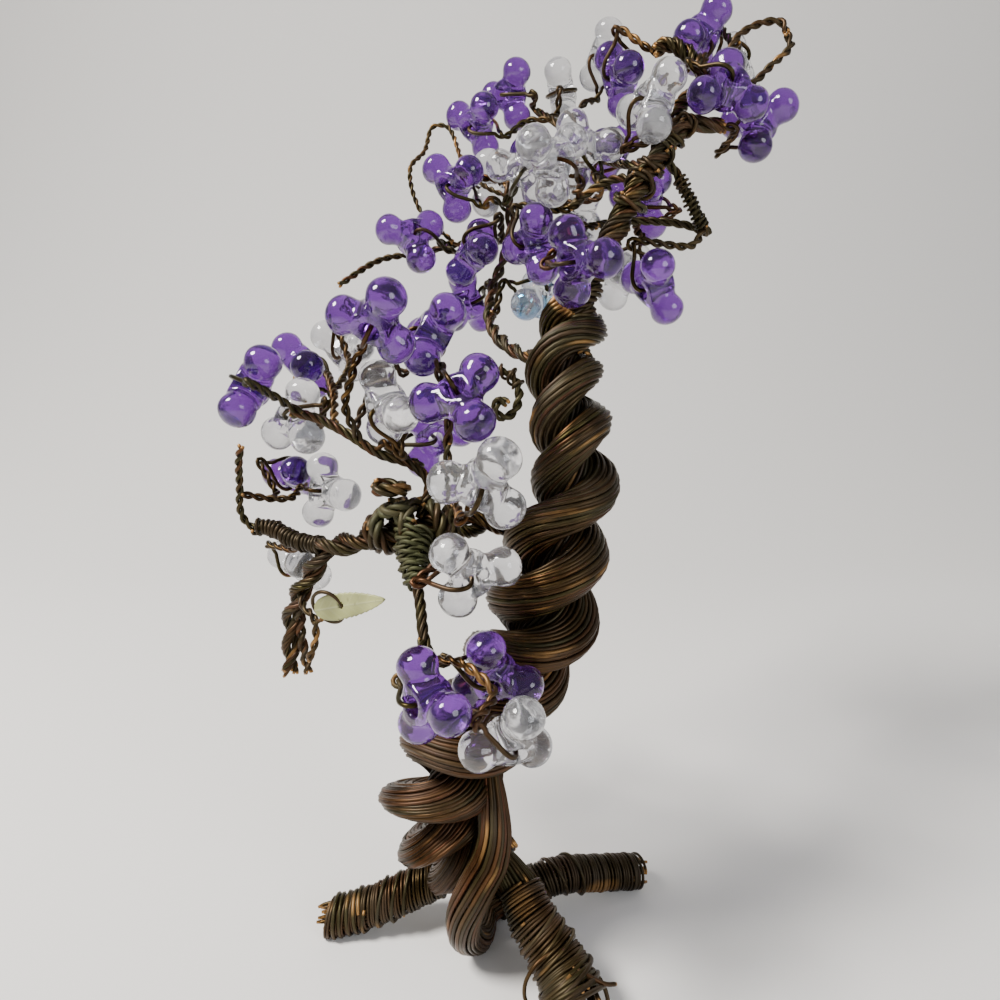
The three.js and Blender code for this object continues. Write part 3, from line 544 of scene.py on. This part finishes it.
def bead_pose(node):
    """Where a bead sits: its middle, and the directions of its width, first lobe and hole."""
    vertices = np.array([v.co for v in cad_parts[node].data.vertices])
    corners = np.unique(vertices.round(7), axis=0) * 1000
    middle = corners.mean(0)
    _, ways = np.linalg.eigh(np.cov((corners - middle).T))
    hole, one = ways[:, 0], ways[:, 2]
    two = np.cross(hole, one)
    x, y = (corners - middle) @ one, (corners - middle) @ two
    far = np.hypot(x, y) > 4
    spin = np.angle(np.exp(3j * np.arctan2(y[far], x[far])).sum()) / 3
    lobe = one * np.cos(spin) + two * np.sin(spin)
    return middle, np.stack([np.cross(lobe, hole), lobe, hole])


bead_points, bead_faces = bead_skin()
bead_poses = {}
for node in sorted(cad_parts):
    if not node.startswith("bead_"):
        continue
    bead_poses[node] = bead_pose(node)
    middle, ways = bead_poses[node]
    purple = "purple" in node
    finish = purple_plastic if purple else pearly_plastic if "pearly" in node else clear_plastic
    mesh_piece(node + "_plastic", bead_points @ ways + middle, bead_faces, finish,
               [node])

# Crown. The strands of the trunk go on as a rope of twisted wire to the upper right, and a second
# rope turns back to a cut stub. Twigs of two strands twisted together leave the rope, and each
# ends in a loop that goes through a bead's hole and back round its waist.
twig_red, coil_red = 0.15, 0.1
twig_wire, thin_twig_wire, coil_wire = 0.52, 0.42, 0.42
rope_step, loop_pitch, loop_gap = 0.4, 3.2, 0.06
verdigris = np.array([0.060, 0.066, 0.022])


def rope(skein, points, widths, rng, plies=3, strands=5, pitch=8.0, free_end=0.0):
    """A rope of plies laid round each other, each ply of a few strands, cut off unevenly."""
    middle = bent(points, rope_step)
    share = lengths(middle) / lengths(middle)[-1]
    width = np.interp(share, np.linspace(0, 1, len(widths)), widths)
    ply = width / (1 + 1 / np.sin(np.pi / plies)) if plies > 2 else width / 2
    for p in range(plies):
        ply_line = laid_round(middle, width / 2 - ply / 2, pitch, tau * p / plies)
        ply_line += 0.06 * np.stack([mottle(ply_line, 4, int(rng.integers(1 << 20))) for _ in range(3)], 1)
        for k in range(strands):
            line = laid_round(ply_line, np.maximum(ply / 2 - strand_wire / 2, 0.05), pitch * 0.8,
                              tau * k / strands)
            if free_end:
                line = line[: len(line) - int(rng.integers(0, free_end / rope_step))]
            skein.add(line, strand_wire, wire_tone(line, rng, twig_red),
                      np.clip(0.5 + 0.3 * mottle(line, 5, 77), 0.1, 0.95), sides=5)


def twisted_pair(skein, points, rng, wire=strand_wire, pitch=3.4, count=2):
    """Two, three or four wires twisted together."""
    middle = bent(points, 0.35)
    reach = wire / 2 if count == 2 else wire / (2 * np.sin(np.pi / count))
    for k in range(count):
        line = laid_round(middle, reach, pitch, tau * k / count + 0.4)
        skein.add(line, wire, wire_tone(line, rng, twig_red), 0.45, sides=6)


def wound(skein, points, radius, wire, pitch, rng, start, stop):
    """One wire coiled closely round a twig, from one share of its length to another."""
    middle = bent(points, 0.08)
    share = lengths(middle) / lengths(middle)[-1]
    middle = middle[(share >= start) & (share <= stop)]
    _, side, up = carried(middle)
    angle = (tau * lengths(middle) / pitch)[:, None]
    fat = radius * (1 + 0.10 * np.sin(angle / 4.3) + 0.06 * np.sin(angle / 1.7))
    line = middle + fat * (side * np.cos(angle) + up * np.sin(angle))
    line = even(line, 0.18 if wire < 0.5 else 0.25)
    skein.add(line, wire, wire_tone(line, rng, coil_red), 0.5, sides=5)


def bead_loop(skein, node, points, rng):
    """Two strands twisted together up to a bead, where they part and hold it."""
    middle, (_, lobe, hole) = bead_poses[node]
    side = np.cross(hole, lobe)
    from_bead = unit(np.array(points[-1], float) - middle)
    waists = [side * np.cos(a) + lobe * np.sin(a) for a in (radians(30), radians(150), radians(270))]
    waist = max(waists, key=lambda w: w @ from_bead)
    at = lambda out, high: middle + waist * out + hole * high
    pair = bent(list(points) + [at(6.0, 0), at(4.3, 0)], 0.3)
    _, across, up = carried(pair)
    along = lengths(pair)
    end = np.arctan2(hole @ up[-1], hole @ across[-1])
    winds = max(1, round(along[-1] / loop_pitch))
    angle = (end + tau * winds * (along / along[-1] - 1))[:, None]
    apart = strand_wire / 2 + 0.02 + 0.10 * np.clip(along / along[-1] - 0.8, 0, 1)[:, None] * 5
    one = pair + apart * (across * np.cos(angle) + up * np.sin(angle))
    two = pair - apart * (across * np.cos(angle) + up * np.sin(angle))
    over = hub_half + strand_wire / 2 + loop_gap
    loop = [at(3.4, 1.2), at(2.35, over - 0.25), at(1.3, over + 0.08), at(0.45, over - 0.15),
            at(0.0, over - 1.0), at(0, 0)]
    loop += [at(0.0, 1.0 - over), at(0.45, 0.15 - over), at(1.3, -0.08 - over), at(2.35, 0.25 - over),
             at(3.4, -1.2)]
    bend = spline([one[-2], one[-1]] + loop + [two[-1], two[-2]], np.linspace(1, len(loop) + 2, 110))
    line = np.vstack([one[:-1], even(bend, 0.3), two[-2::-1]])
    line = line + 0.04 * np.stack([mottle(line, 3, int(rng.integers(1 << 20))) for _ in range(3)], 1)
    tone = wire_tone(line, rng, twig_red)
    skein.add(line, strand_wire, tone, np.clip(0.35 + 0.3 * mottle(line, 4, 5), 0.05, 0.8), sides=6)


def hold_beads(skein, routes, rng):
    """The twig of each bead, from where it leaves the others to the bead."""
    for node, points in routes.items():
        bead_loop(skein, node, points, rng)


def wrap(skein, route, share, fat, lean, strands, wire, seed, growth=0.35):
    """One turn of a thick twisted wire round the route at a share of its length, with verdigris in
    patches. lean tilts the turn, and a high growth leaves less of the green."""
    rng = np.random.default_rng(seed)
    knot = bent(route, 0.05)
    ahead, side, up = carried(knot)
    i = int(share * (len(knot) - 1))
    angle = np.linspace(0, tau * 1.08, 60)[:, None] + rng.uniform(0, tau)
    grow = 1 + 0.05 * np.sin(2 * angle + seed)
    line = (knot[i] + fat * grow * (side[i] * np.cos(angle) + up[i] * np.sin(angle))
            + ahead[i] * (lean * fat * np.cos(angle) + 0.5 * (angle - angle[0]) / tau))
    reach = wire / (2 * np.sin(np.pi / strands))
    for strand in range(strands):
        turned = laid_round(even(line, 0.3), reach, 5.6, tau * strand / strands)
        green = np.clip(mottle(turned, 6, 92) - growth, 0, 0.8)
        tone = wire_tone(turned, rng, 0.1, 0.9)
        skein.add(turned, wire, tone * (1 - green[:, None]) + verdigris * green[:, None],
                  np.clip(0.5 + green, 0, 1), sides=5)


rng = np.random.default_rng(5)
crown_route = [(10.6, 3, 76), (11.3, 5.4, 80), (12.4, 6.6, 84), (14.6, 8.5, 88), (17.6, 10.2, 94),
               (20.5, 12, 99), (23.5, 13.6, 102.6), (25.4, 14, 104.8), (27.6, 14, 105), (30.5, 14, 104.6)]
crown = Skein()
crown_widths = (5.2, 4.6, 4.1, 3.6, 3.2, 2.8, 2.4, 2.1)
rope(crown, crown_route, crown_widths, rng, plies=3, strands=6, pitch=9, free_end=1)
stub_route = [(23.5, 13.6, 102.6), (24.6, 15.6, 107), (28.3, 17.4, 111.2), (27, 19.6, 114.6),
              (24.4, 21, 116.6), (22.2, 21.6, 116)]
rope(crown, stub_route, (2.2, 2.3, 2.3, 2.2), rng, plies=3, strands=3, pitch=5.5, free_end=1.2)
top_right_a = [(28.3, 17.4, 111.2), (31, 18.4, 113.6), (33.5, 20.6, 117.6), (37, 21.5, 119.4),
               (39.2, 21.5, 119.4), (39.8, 21, 118)]
top_right_b = [(28.3, 17.4, 111.2), (34, 18, 110.6), (37.5, 19, 113.5), (40.1, 20, 116),
               (40.1, 21, 117.4), (39.8, 21, 118)]
crown_wraps = [(0.55, 0.5), (0.62, -0.4), (0.69, 0.6), (0.75, -0.3), (0.81, 0.45), (0.87, -0.55)]
for turn, (share, lean) in enumerate(crown_wraps):
    wrap(crown, crown_route, share, 1.75 - 0.12 * turn, lean, 2, 0.6, 60 + turn, 0.9)
twisted_pair(crown, top_right_a, rng)
twisted_pair(crown, top_right_b, rng)
hold_beads(crown, {
    "bead_purple_far_right": [(29, 14, 104.8), (32, 14.4, 104.6)],
    "bead_purple_right_high": [(27.4, 17, 110.4), (28.6, 15.8, 110.6)],
    "bead_clear_top_middle": [(23.5, 13.6, 102.6), (23.4, 12.6, 103.6)],
    "bead_purple_top": [(24.4, 21, 116.6), (23.2, 22.6, 116.2)],
    "bead_purple_top_right": [(28.2, 17.6, 112), (28.8, 20.4, 115)],
    "bead_clear_top_right": [(33, 20, 116.6), (34, 23.6, 117)],
}, rng)
crown.piece("crown_rope_wires", wire_finish, "copper_wire", "crown_rope")

# Crown twigs. Three branches off the crown rope: one to the left, one bent into a wide hook and
# partly wound with a second wire, and one to the back, at the top of the tree.
left_twig = Skein()
left_twig_route = [(19.4, 11.6, 97.6), (17.4, 13.6, 98.6), (15, 15, 98), (12.8, 15.2, 96.6), (11, 14.6, 95)]
twisted_pair(left_twig, left_twig_route, rng, count=3, pitch=4.2)
hold_beads(left_twig, {
    "bead_purple_crown_left": [(12.8, 15.2, 96.6), (11, 14.6, 95)],
    "bead_clear_middle_back": [(15, 15, 98), (14.6, 16.6, 99.4)],
    "bead_clear_middle_front": [(12.8, 15.2, 96.6), (11.8, 14.4, 97)],
    "bead_clear_crown": [(15, 15, 98), (15, 18, 97)],
}, rng)
left_twig.piece("crown_left_twig_wires", wire_finish, "copper_wire", "crown_left_twig")

coil_twig = Skein()
coil_route = [(22.4, 13.2, 101), (24.4, 13.8, 99.4), (26, 13.6, 96.6), (28, 14.4, 93.4), (29.4, 15.6, 92.2),
              (27.6, 17, 93.2), (24.6, 17.4, 93.8), (20.6, 17.6, 94), (17, 16.4, 93.6), (14.4, 13.6, 92.8)]
twisted_pair(coil_twig, coil_route, rng, count=3, pitch=4.4)
wound(coil_twig, coil_route, 0.78, coil_wire, 0.62, rng, 0.12, 0.36)
hold_beads(coil_twig, {
    "bead_purple_crown_middle": [(14.4, 13.6, 92.8), (11, 9, 91.4), (10.4, 5.4, 90.6)],
    "bead_purple_crown_right": [(24.6, 17.4, 93.8), (24, 19.4, 94.4)],
    "bead_clear_crown_right": [(20.6, 17.6, 94), (20.6, 19.4, 93)],
    "bead_purple_right": [(28.6, 15, 92.6), (27, 13.4, 90.4)],
}, rng)
coil_twig.piece("crown_coil_twig_wires", wire_finish, "copper_wire", "crown_coil_twig")

top_twig = Skein()
top_route = [(21.2, 13.6, 100.2), (19, 17.4, 101), (17, 22, 102.4), (14.5, 26.9, 104.5), (12.4, 32, 108.2),
             (10, 36.2, 111.4), (7.8, 39, 113.4)]
twisted_pair(top_twig, top_route, rng, count=4, pitch=5.4, wire=twig_wire)
hold_beads(top_twig, {
    "bead_purple_top_low": [(15.2, 25.6, 103.8), (16.2, 27, 104.1)],
    "bead_purple_top_back": [(12.8, 31.6, 107.9), (11.4, 32, 107.6)],
    "bead_purple_top_back_low": [(10, 36, 111.4), (6, 36.4, 111.2)],
    "bead_purple_top_back_left": [(8.4, 38.4, 113), (7.2, 39.4, 114)],
    "bead_clear_top_back": [(9.6, 36.6, 111.7), (11, 38.4, 113)],
    "bead_clear_top_back_right": [(12, 32.6, 108.7), (14.6, 33.6, 113)],
}, rng)
top_twig.piece("top_back_twig_wires", wire_finish, "copper_wire", "top_back_twig")

# Back rope. Some strands leave the trunk near its top and climb behind it, with a long bare twig
# to the left and a thin wire bent up into a peak over it.
back = Skein()
back_route = [(9.6, 3.4, 72), (9, 4, 75.6), (5, 8, 76.6), (2, 12.6, 78.6), (0.6, 18, 82), (1.6, 23.4, 87),
              (3.4, 26, 92.6), (3.4, 28, 97.6), (3, 29, 101)]
rope(back, back_route, (2.3, 2.1, 1.9, 1.7, 1.4), rng, plies=2, strands=4, pitch=6)
bare_twig = [(3.4, 26, 92.6), (0, 28.4, 92.6), (-5, 30, 92.4), (-10, 31.6, 91.4), (-16, 31, 90.4),
             (-22, 27.6, 86.4)]
twisted_pair(back, bare_twig, rng, pitch=3.0)
peak_wire = [(-5, 29, 92.8), (-10, 31.4, 97.6), (-11.6, 34, 104), (-9.6, 36.4, 107), (-8.4, 38.4, 111),
             (-6.2, 38.4, 111), (-3.4, 34, 104.6), (0, 30, 100.6), (3.2, 28.4, 99)]
twisted_pair(back, peak_wire, rng, wire=thin_twig_wire, pitch=2.6)
hold_beads(back, {
    "bead_clear_pearly": [(0.6, 18, 82), (1.4, 18.4, 82)],
    "bead_purple_back_low": [(1.6, 23.4, 87), (0.4, 25, 86.6)],
    "bead_purple_back_middle": [(3.2, 25.6, 91.6), (2.4, 23.6, 92)],
    "bead_purple_back_left": [(-5, 30, 92.4), (-7, 30, 92.8)],
    "bead_purple_high_left": [(3.4, 27.6, 97), (0.6, 26.6, 98.4)],
    "bead_clear_high_left": [(3, 29, 101), (2.6, 30, 101.4)],
    "bead_clear_high_middle": [(3.4, 28, 98.6), (4.4, 26, 100)],
}, rng)
back.piece("back_rope_wires", wire_finish, "copper_wire", "back_rope")

# Left limb. A rope of wire out of the trunk's side that bends down to two cut ends. Near the trunk
# it is wound with a thick knot of twisted wire, where green verdigris has grown between the turns.
limb_route = [(9, -2, 57), (4.6, -0.6, 57), (0, -1.4, 57), (-4, -2.6, 57), (-8, -3, 57), (-13, -1.4, 55.6),
              (-16.6, 0.6, 54), (-19.6, 2.2, 53.2), (-21.6, 3.6, 50), (-24, 5, 46.4), (-25.6, 6, 42.6),
              (-26, 6, 38.6), (-26.4, 6, 34.2)]
limb = Skein()
rope(limb, limb_route, (3.4, 3.4, 3.3, 3.2, 2.9, 2.6), rng, plies=2, strands=6, pitch=8.5, free_end=1.6)
left_arm = [(-19.6, 2.2, 53.2), (-24.4, 5.6, 53), (-28, 8, 54), (-31, 8.4, 54.2)]
wound(limb, left_arm, 0.98, strand_wire, 0.66, rng, 0.05, 0.97)
rope(limb, [(-24, 5, 46.4), (-24.4, 5.4, 41), (-23.6, 5, 34.8)], (1.6, 1.6), rng, plies=2, strands=3, pitch=4,
     free_end=0.9)
twisted_pair(limb, left_arm + [(-32.2, 8.4, 56), (-32, 8, 60), (-31.4, 6.6, 63.4), (-30.6, 5.6, 65.4)], rng,
             pitch=2.8)
twisted_pair(limb, [(-24, 5, 46.4), (-23, 2.6, 45), (-21.4, 0.8, 44.4), (-21.2, 0.6, 41.6), (-22.4, 1, 38.4)],
             rng)
knot_route = [(-2.6, -2.4, 57.2), (-6, -3, 57.2), (-10, -2.6, 56.6), (-13.4, -1.4, 55.6)]
knot_leans = (-0.42, 0.28, -0.30, 0.45, -0.2, 0.35)
knot_wire, knot_fat = 0.82, 3.5
for turn, lean in enumerate(knot_leans):
    share = (turn + 0.5) / len(knot_leans)
    fat = knot_fat * (0.64 + 0.34 * np.sin(np.pi * share)) - knot_wire
    wrap(limb, knot_route, share, fat, lean, 3, knot_wire, 40 + turn)
curl_route = [(-9.4, -3.2, 58.0), (-10.2, -3.2, 60), (-10.8, -3, 62.6)]
for turn, share in enumerate((0.25, 0.75)):
    wrap(limb, curl_route, share, 1.5, 0.3, 3, 0.8, 50 + turn)

# A wire ring holds the leaf. It lies along the leaf's flat, dips through the hole, and goes on
# into a twisted stalk that ends beside the limb's cut ends.
leaf_along, leaf_up, leaf_out = np.array(
    [[0.865, -0.418, 0.276], [-0.249, 0.120, 0.961], [-0.435, -0.900, 0]])
ring_angle = np.linspace(-2.44, tau - 2.6, 48)[:, None]
ring_middle, ring_radius, ring_rise = np.array([-19.0, -1.2, 46.4]), 2.15, 0.7
leaf_ring = (ring_middle + ring_radius * np.cos(ring_angle) * leaf_along
             + np.sin(ring_angle) * (ring_radius * leaf_up + ring_rise * leaf_out))
limb.add(leaf_ring, 0.5, wire_tone(leaf_ring, rng, 0.1), 0.45)
twisted_pair(limb, [(-21.4, 0.8, 43.6), (-20.8, 0.4, 44.0), (-19.95, -0.25, 44.6)], rng,
             wire=thin_twig_wire, pitch=2)
hold_beads(limb, {
    "bead_clear_mid_left": [(-32, 8.2, 58.6), (-28.6, 10, 57.6), (-26, 11, 57.6)],
    "bead_purple_far_left": [(-28.6, 10, 57.6), (-28.6, 12.6, 57.8)],
    "bead_clear_limb_back": [(-24.4, 5.6, 53), (-26, 10, 50.6)],
}, rng)
limb.piece("left_limb_wires", wire_finish, "copper_wire", "left_limb")

# Twigs on the limb: one up and to the left with eight beads, one up the middle, and one down in
# front of the trunk with three. All are the same strands, twisted by hand in twos, threes and fours.
upper_left = Skein()
upper_left_route = [(-7.4, -2.8, 58), (-6.4, -1.4, 62), (-8.4, -0.8, 64), (-12, -1.6, 65.4),
                    (-16.4, -0.6, 68), (-20, 1, 69.4), (-23, 1.4, 70)]
twisted_pair(upper_left, upper_left_route, rng, count=4, pitch=5, wire=twig_wire)
hold_beads(upper_left, {
    "bead_purple_left": [(-21.4, 1.2, 69.7), (-22.8, 0.6, 70.8)],
    "bead_clear_left": [(-18.8, 0.5, 69), (-20, 3, 68.4)],
    "bead_purple_upper_front": [(-14.2, -1.2, 66.7), (-15.6, -2.6, 71), (-14.4, -4, 74.6)],
    "bead_purple_upper_back": [(-15.4, -0.9, 67.4), (-13.4, 2, 72), (-11, 2, 75.6)],
    "bead_purple_left_back": [(-17.4, -0.1, 68.5), (-18.8, 6, 72.6), (-20.6, 11, 74)],
    "bead_clear_left_back": [(-18.6, 4.6, 71.6), (-17.6, 11, 75), (-18.6, 15, 76.4)],
    "bead_clear_centre_back": [(-12.4, -1.6, 65.6), (-11.4, -1.8, 66.8)],
    "bead_purple_centre_back": [(-8.6, -0.9, 64.1), (-7.6, 1, 63.6)],
}, rng)
upper_left.piece("upper_left_twig_wires", wire_finish, "copper_wire", "upper_left_twig")

middle_twig = Skein()
twisted_pair(middle_twig, [(-3.6, -4.6, 69.4), (-3.8, -5.6, 67), (-3.6, -6.6, 63), (-3.2, -7.4, 59),
                           (-2.8, -7.6, 56.4), (-4.4, -8, 54.6)], rng)
curl = [(-3.6, -4.6, 69.4), (-2.6, -2.6, 72.4), (-0.6, -1.6, 74.6), (1.8, -1.6, 75), (3.5, -2.5, 74.4),
        (4.2, -4, 72.5), (3.6, -5, 70.6), (2.3, -5.5, 70), (1.5, -5.4, 71.1), (2.1, -5.4, 72.1),
        (2.9, -5.6, 71.5)]
twisted_pair(middle_twig, curl, rng, pitch=3.0)
wound(middle_twig, curl, 0.74, 0.4, 1.5, rng, 0.15, 0.62)
hold_beads(middle_twig, {
    "bead_purple_centre": [(-3.8, -5.6, 67), (-3.6, -5.8, 69)],
    "bead_clear_front": [(-3.4, -7, 61), (-2.4, -10, 60.6)],
    "bead_clear_hook": [(-2.8, -7.6, 56.4), (-3.2, -8.4, 55.6)],
}, rng)
middle_twig.piece("middle_twig_wires", wire_finish, "copper_wire", "middle_twig")

lower = Skein()
lower_route = [(-8, -4.4, 55.6), (-7.6, -6.6, 52.8), (-6.8, -9.4, 49.8), (-6.2, -12, 47), (-5.4, -13.6, 45)]
twisted_pair(lower, lower_route, rng, count=4, pitch=5.5)
cone = bent([(-7.6, -3.8, 57), (-7.9, -5, 55.4), (-7.7, -6.4, 53.4), (-7.3, -7.9, 51.6)], 0.05)
_, side, up = carried(cone)
share = lengths(cone)[:, None] / lengths(cone)[-1]
cone_turns, cone_wide, cone_taper, cone_wire = 8.5, 2.3, 1.25, 0.5
angle = tau * cone_turns * share
fat = cone_wide - cone_taper * share + 0.12 * np.sin(angle / 2.7)
cone = even(cone + fat * (side * np.cos(angle) + up * np.sin(angle)), 0.3)
for turned in (laid_round(cone, 0.28, 4, 0), laid_round(cone, 0.28, 4, tau / 2)):
    green = np.clip(0.75 + 0.4 * mottle(turned, 4, 95), 0.2, 1)[:, None]
    lower.add(turned, cone_wire, wire_tone(turned, rng, 0.0) * (1 - green) + verdigris * green, 0.9, sides=5)
hold_beads(lower, {
    "bead_purple_low_left": [(-6.3, -12.2, 46.9), (-6.6, -14, 45.8)],
    "bead_purple_low_middle": [(-5.4, -13.6, 45), (-3.6, -13.6, 44.6)],
    "bead_clear_low": [(-5.4, -13.6, 45), (-1.8, -16.8, 46), (1.4, -18.8, 43.8)],
}, rng)
lower.piece("lower_twig_wires", wire_finish, "copper_wire", "lower_twig")

# Leaf. A thin moulded leaf of dull yellow-green plastic, with teeth along its edge, a midrib and
# side veins, and dark specks. The limb's wire ring goes through a hole near its stalk.
leaf_hole = np.array([-19.4, -1.0, 46.2])
leaf_start, leaf_end, leaf_half_width, leaf_half_thick = -1.3, 9.4, 1.72, 0.2
leaf_cells_long, leaf_cells_wide = 76, 26
ring_hole, ring_hole_radius = np.array([2.6, 0.1]), 0.45
leaf_green, leaf_speck = np.array([0.33, 0.34, 0.13]), np.array([0.10, 0.09, 0.03])


def turned_about(axis, angle):
    """The matrix of a turn about one of the three axes."""
    turn = np.eye(3)
    one, two = (axis + 1) % 3, (axis + 2) % 3
    turn[one, one] = turn[two, two] = np.cos(angle)
    turn[two, one], turn[one, two] = np.sin(angle), -np.sin(angle)
    return turn


def leaf_piece():
    """The leaf as two skins with an edge between them, and a hole for the ring."""
    along, across = np.meshgrid(np.linspace(0, 1, leaf_cells_long + 1),
                                np.linspace(-1, 1, leaf_cells_wide + 1), indexing="ij")
    x = leaf_start + (leaf_end - leaf_start) * along
    half = leaf_half_width * (np.sin(np.pi * along**0.62)) ** 0.62
    teeth = 1 - 0.10 * np.clip((along * 13) % 1, 0, 1) * (along > 0.30) * (along < 0.97)
    y = across * np.maximum(half * teeth, 0.06)
    slant = x - 1.1 * np.abs(y)
    side_veins = np.clip(1 - np.abs((slant / 1.45) % 1 - 0.5) / 0.09, 0, 1)
    veins = np.clip(1 - np.abs(y) / 0.14, 0, 1) + 0.6 * side_veins
    edge = np.clip(1 - (1 - np.abs(across)) / 0.14, 0, 1) ** 2
    thick = leaf_half_thick * (1 - 0.7 * edge)
    cup = 0.22 * (y / leaf_half_width) ** 2 + 0.012 * (x - 4) ** 2
    front = np.stack([x, y, cup + thick + 0.05 * np.minimum(veins, 1)], -1).reshape(-1, 3)
    rear = np.stack([x, y, cup - thick], -1).reshape(-1, 3)
    wide = leaf_cells_wide + 1
    number = np.arange(front.shape[0]).reshape(leaf_cells_long + 1, wide)
    centre = (front[number[:-1, :-1]] + front[number[1:, 1:]])[..., :2] / 2
    kept = np.linalg.norm(centre - ring_hole, axis=-1) > ring_hole_radius
    padded = np.pad(kept, 1)
    faces, count = [], front.shape[0]
    for i, j in np.argwhere(kept):
        a, b, c, d = number[i, j], number[i + 1, j], number[i + 1, j + 1], number[i, j + 1]
        faces += [(a, b, c, d), (a + count, d + count, c + count, b + count)]
        rims = (((-1, 0), (d, a)), ((1, 0), (b, c)), ((0, -1), (a, b)), ((0, 1), (c, d)))
        for (di, dj), (one, two) in rims:
            if not padded[i + 1 + di, j + 1 + dj]:
                faces.append((one, one + count, two + count, two))
    used = sorted({v for face in faces for v in face})
    place = {v: k for k, v in enumerate(used)}
    faces = [tuple(int(place[v]) for v in face) for face in faces]
    turn = turned_about(2, -0.45) @ turned_about(1, -0.28) @ turned_about(0, np.pi / 2)
    points = np.vstack([front, rear])[used] @ turn.T + leaf_hole
    speck = np.clip(mottle(points, 0.9, 61) - 1.05, 0, 0.8)[:, None]
    paler = np.tile(np.minimum(veins, 1).ravel(), 2)[used][:, None]
    tone = leaf_green * (1 + 0.25 * mottle(points, 3, 62)[:, None]) + 0.07 * paler
    tone = tone * (1 - speck) + leaf_speck * speck
    mesh_piece("leaf_charm_leaf", points, faces, leaf_finish, ["leaf_charm"], tone,
               np.full(len(points), 1.0))


leaf_finish = bpy.data.materials.new("leaf_plastic")
leaf_nodes, leaf_links, leaf_shader = shader_of(leaf_finish)
leaf_shader.inputs["Roughness"].default_value = 0.38
leaf_shader.inputs["Transmission Weight"].default_value = 0.12
leaf_tone = leaf_nodes.new("ShaderNodeAttribute")
leaf_tone.attribute_name = "tone"
leaf_links.new(leaf_tone.outputs["Color"], leaf_shader.inputs["Base Color"])
leaf_place = leaf_nodes.new("ShaderNodeTexCoord")
leaf_grain = new_node(leaf_nodes, "ShaderNodeTexNoise", {"Scale": 1500})
leaf_links.new(leaf_place.outputs["Object"], leaf_grain.inputs["Vector"])
rough_skin(leaf_nodes, leaf_links, leaf_shader, leaf_grain, 0.3, 0.00003)
leaf_piece()

# Floor, light and camera. A plain pale floor that bends up into a wall behind the tree, a large soft
# lamp from the upper left and a weak one from the right, and the photograph's viewpoint: a hand's
# width in front of the tree, looking down a little. All lengths here are in metres.
floor_half_width, floor_front, floor_back, floor_bend, wall_height = 1.2, -1.0, 0.16, 0.3, 1.2
viewer_place, viewer_tilt, viewer_lens, film_width = (0.00205, -0.0886, 0.0784), 78, 27.072, 36

plain = bpy.data.materials.new("pale_floor")
_, _, plain_shader = shader_of(plain)
plain_shader.inputs["Base Color"].default_value = (0.80, 0.78, 0.75, 1)
plain_shader.inputs["Roughness"].default_value = 0.85
sweep = [(floor_front, 0.0), (floor_back, 0.0)]
sweep += [(floor_back + floor_bend * np.sin(a), floor_bend - floor_bend * np.cos(a))
          for a in np.linspace(0.05, tau / 4, 24)]
sweep += [(floor_back + floor_bend, wall_height)]
rows = [(x, y, z) for y, z in sweep for x in (-floor_half_width, floor_half_width)]
squares = [(2 * i, 2 * i + 1, 2 * i + 3, 2 * i + 2) for i in range(len(sweep) - 1)]
floor = bpy.data.meshes.new("floor")
floor.from_pydata(rows, [], squares)
floor.shade_smooth()
floor.materials.append(plain)
floor_piece = bpy.data.objects.new("floor", floor)
bpy.context.scene.collection.objects.link(floor_piece)

sky = bpy.data.worlds.new("soft_room")
sky.use_nodes = True
sky.node_tree.nodes["Background"].inputs["Color"].default_value = (0.80, 0.82, 0.86, 1)
sky.node_tree.nodes["Background"].inputs["Strength"].default_value = 0.45
bpy.context.scene.world = sky


def soft_light(name, place, aim, size, power, colour):
    lamp = bpy.data.lights.new(name, "AREA")
    lamp.shape = "DISK"
    lamp.size, lamp.energy, lamp.color = size, power, colour
    light = bpy.data.objects.new(name, lamp)
    bpy.context.scene.collection.objects.link(light)
    way = np.array(aim, float) - np.array(place, float)
    light.location = place
    light.rotation_euler = Vector(way).to_track_quat("-Z", "Y").to_euler()


soft_light("window_light", (-0.28, -0.10, 0.42), (0.01, 0.01, 0.06), 0.16, 5.0, (1.0, 0.97, 0.93))
soft_light("fill_light", (0.30, -0.34, 0.22), (0.0, 0.0, 0.06), 0.25, 1.0, (0.92, 0.95, 1.0))

viewer = bpy.data.cameras.new("viewer")
viewer.lens, viewer.sensor_width, viewer.clip_start = viewer_lens, film_width, 0.004
camera = bpy.data.objects.new("viewer", viewer)
camera.location = viewer_place
camera.rotation_euler = (radians(viewer_tilt), 0, 0)
bpy.context.scene.collection.objects.link(camera)
bpy.context.scene.camera = camera
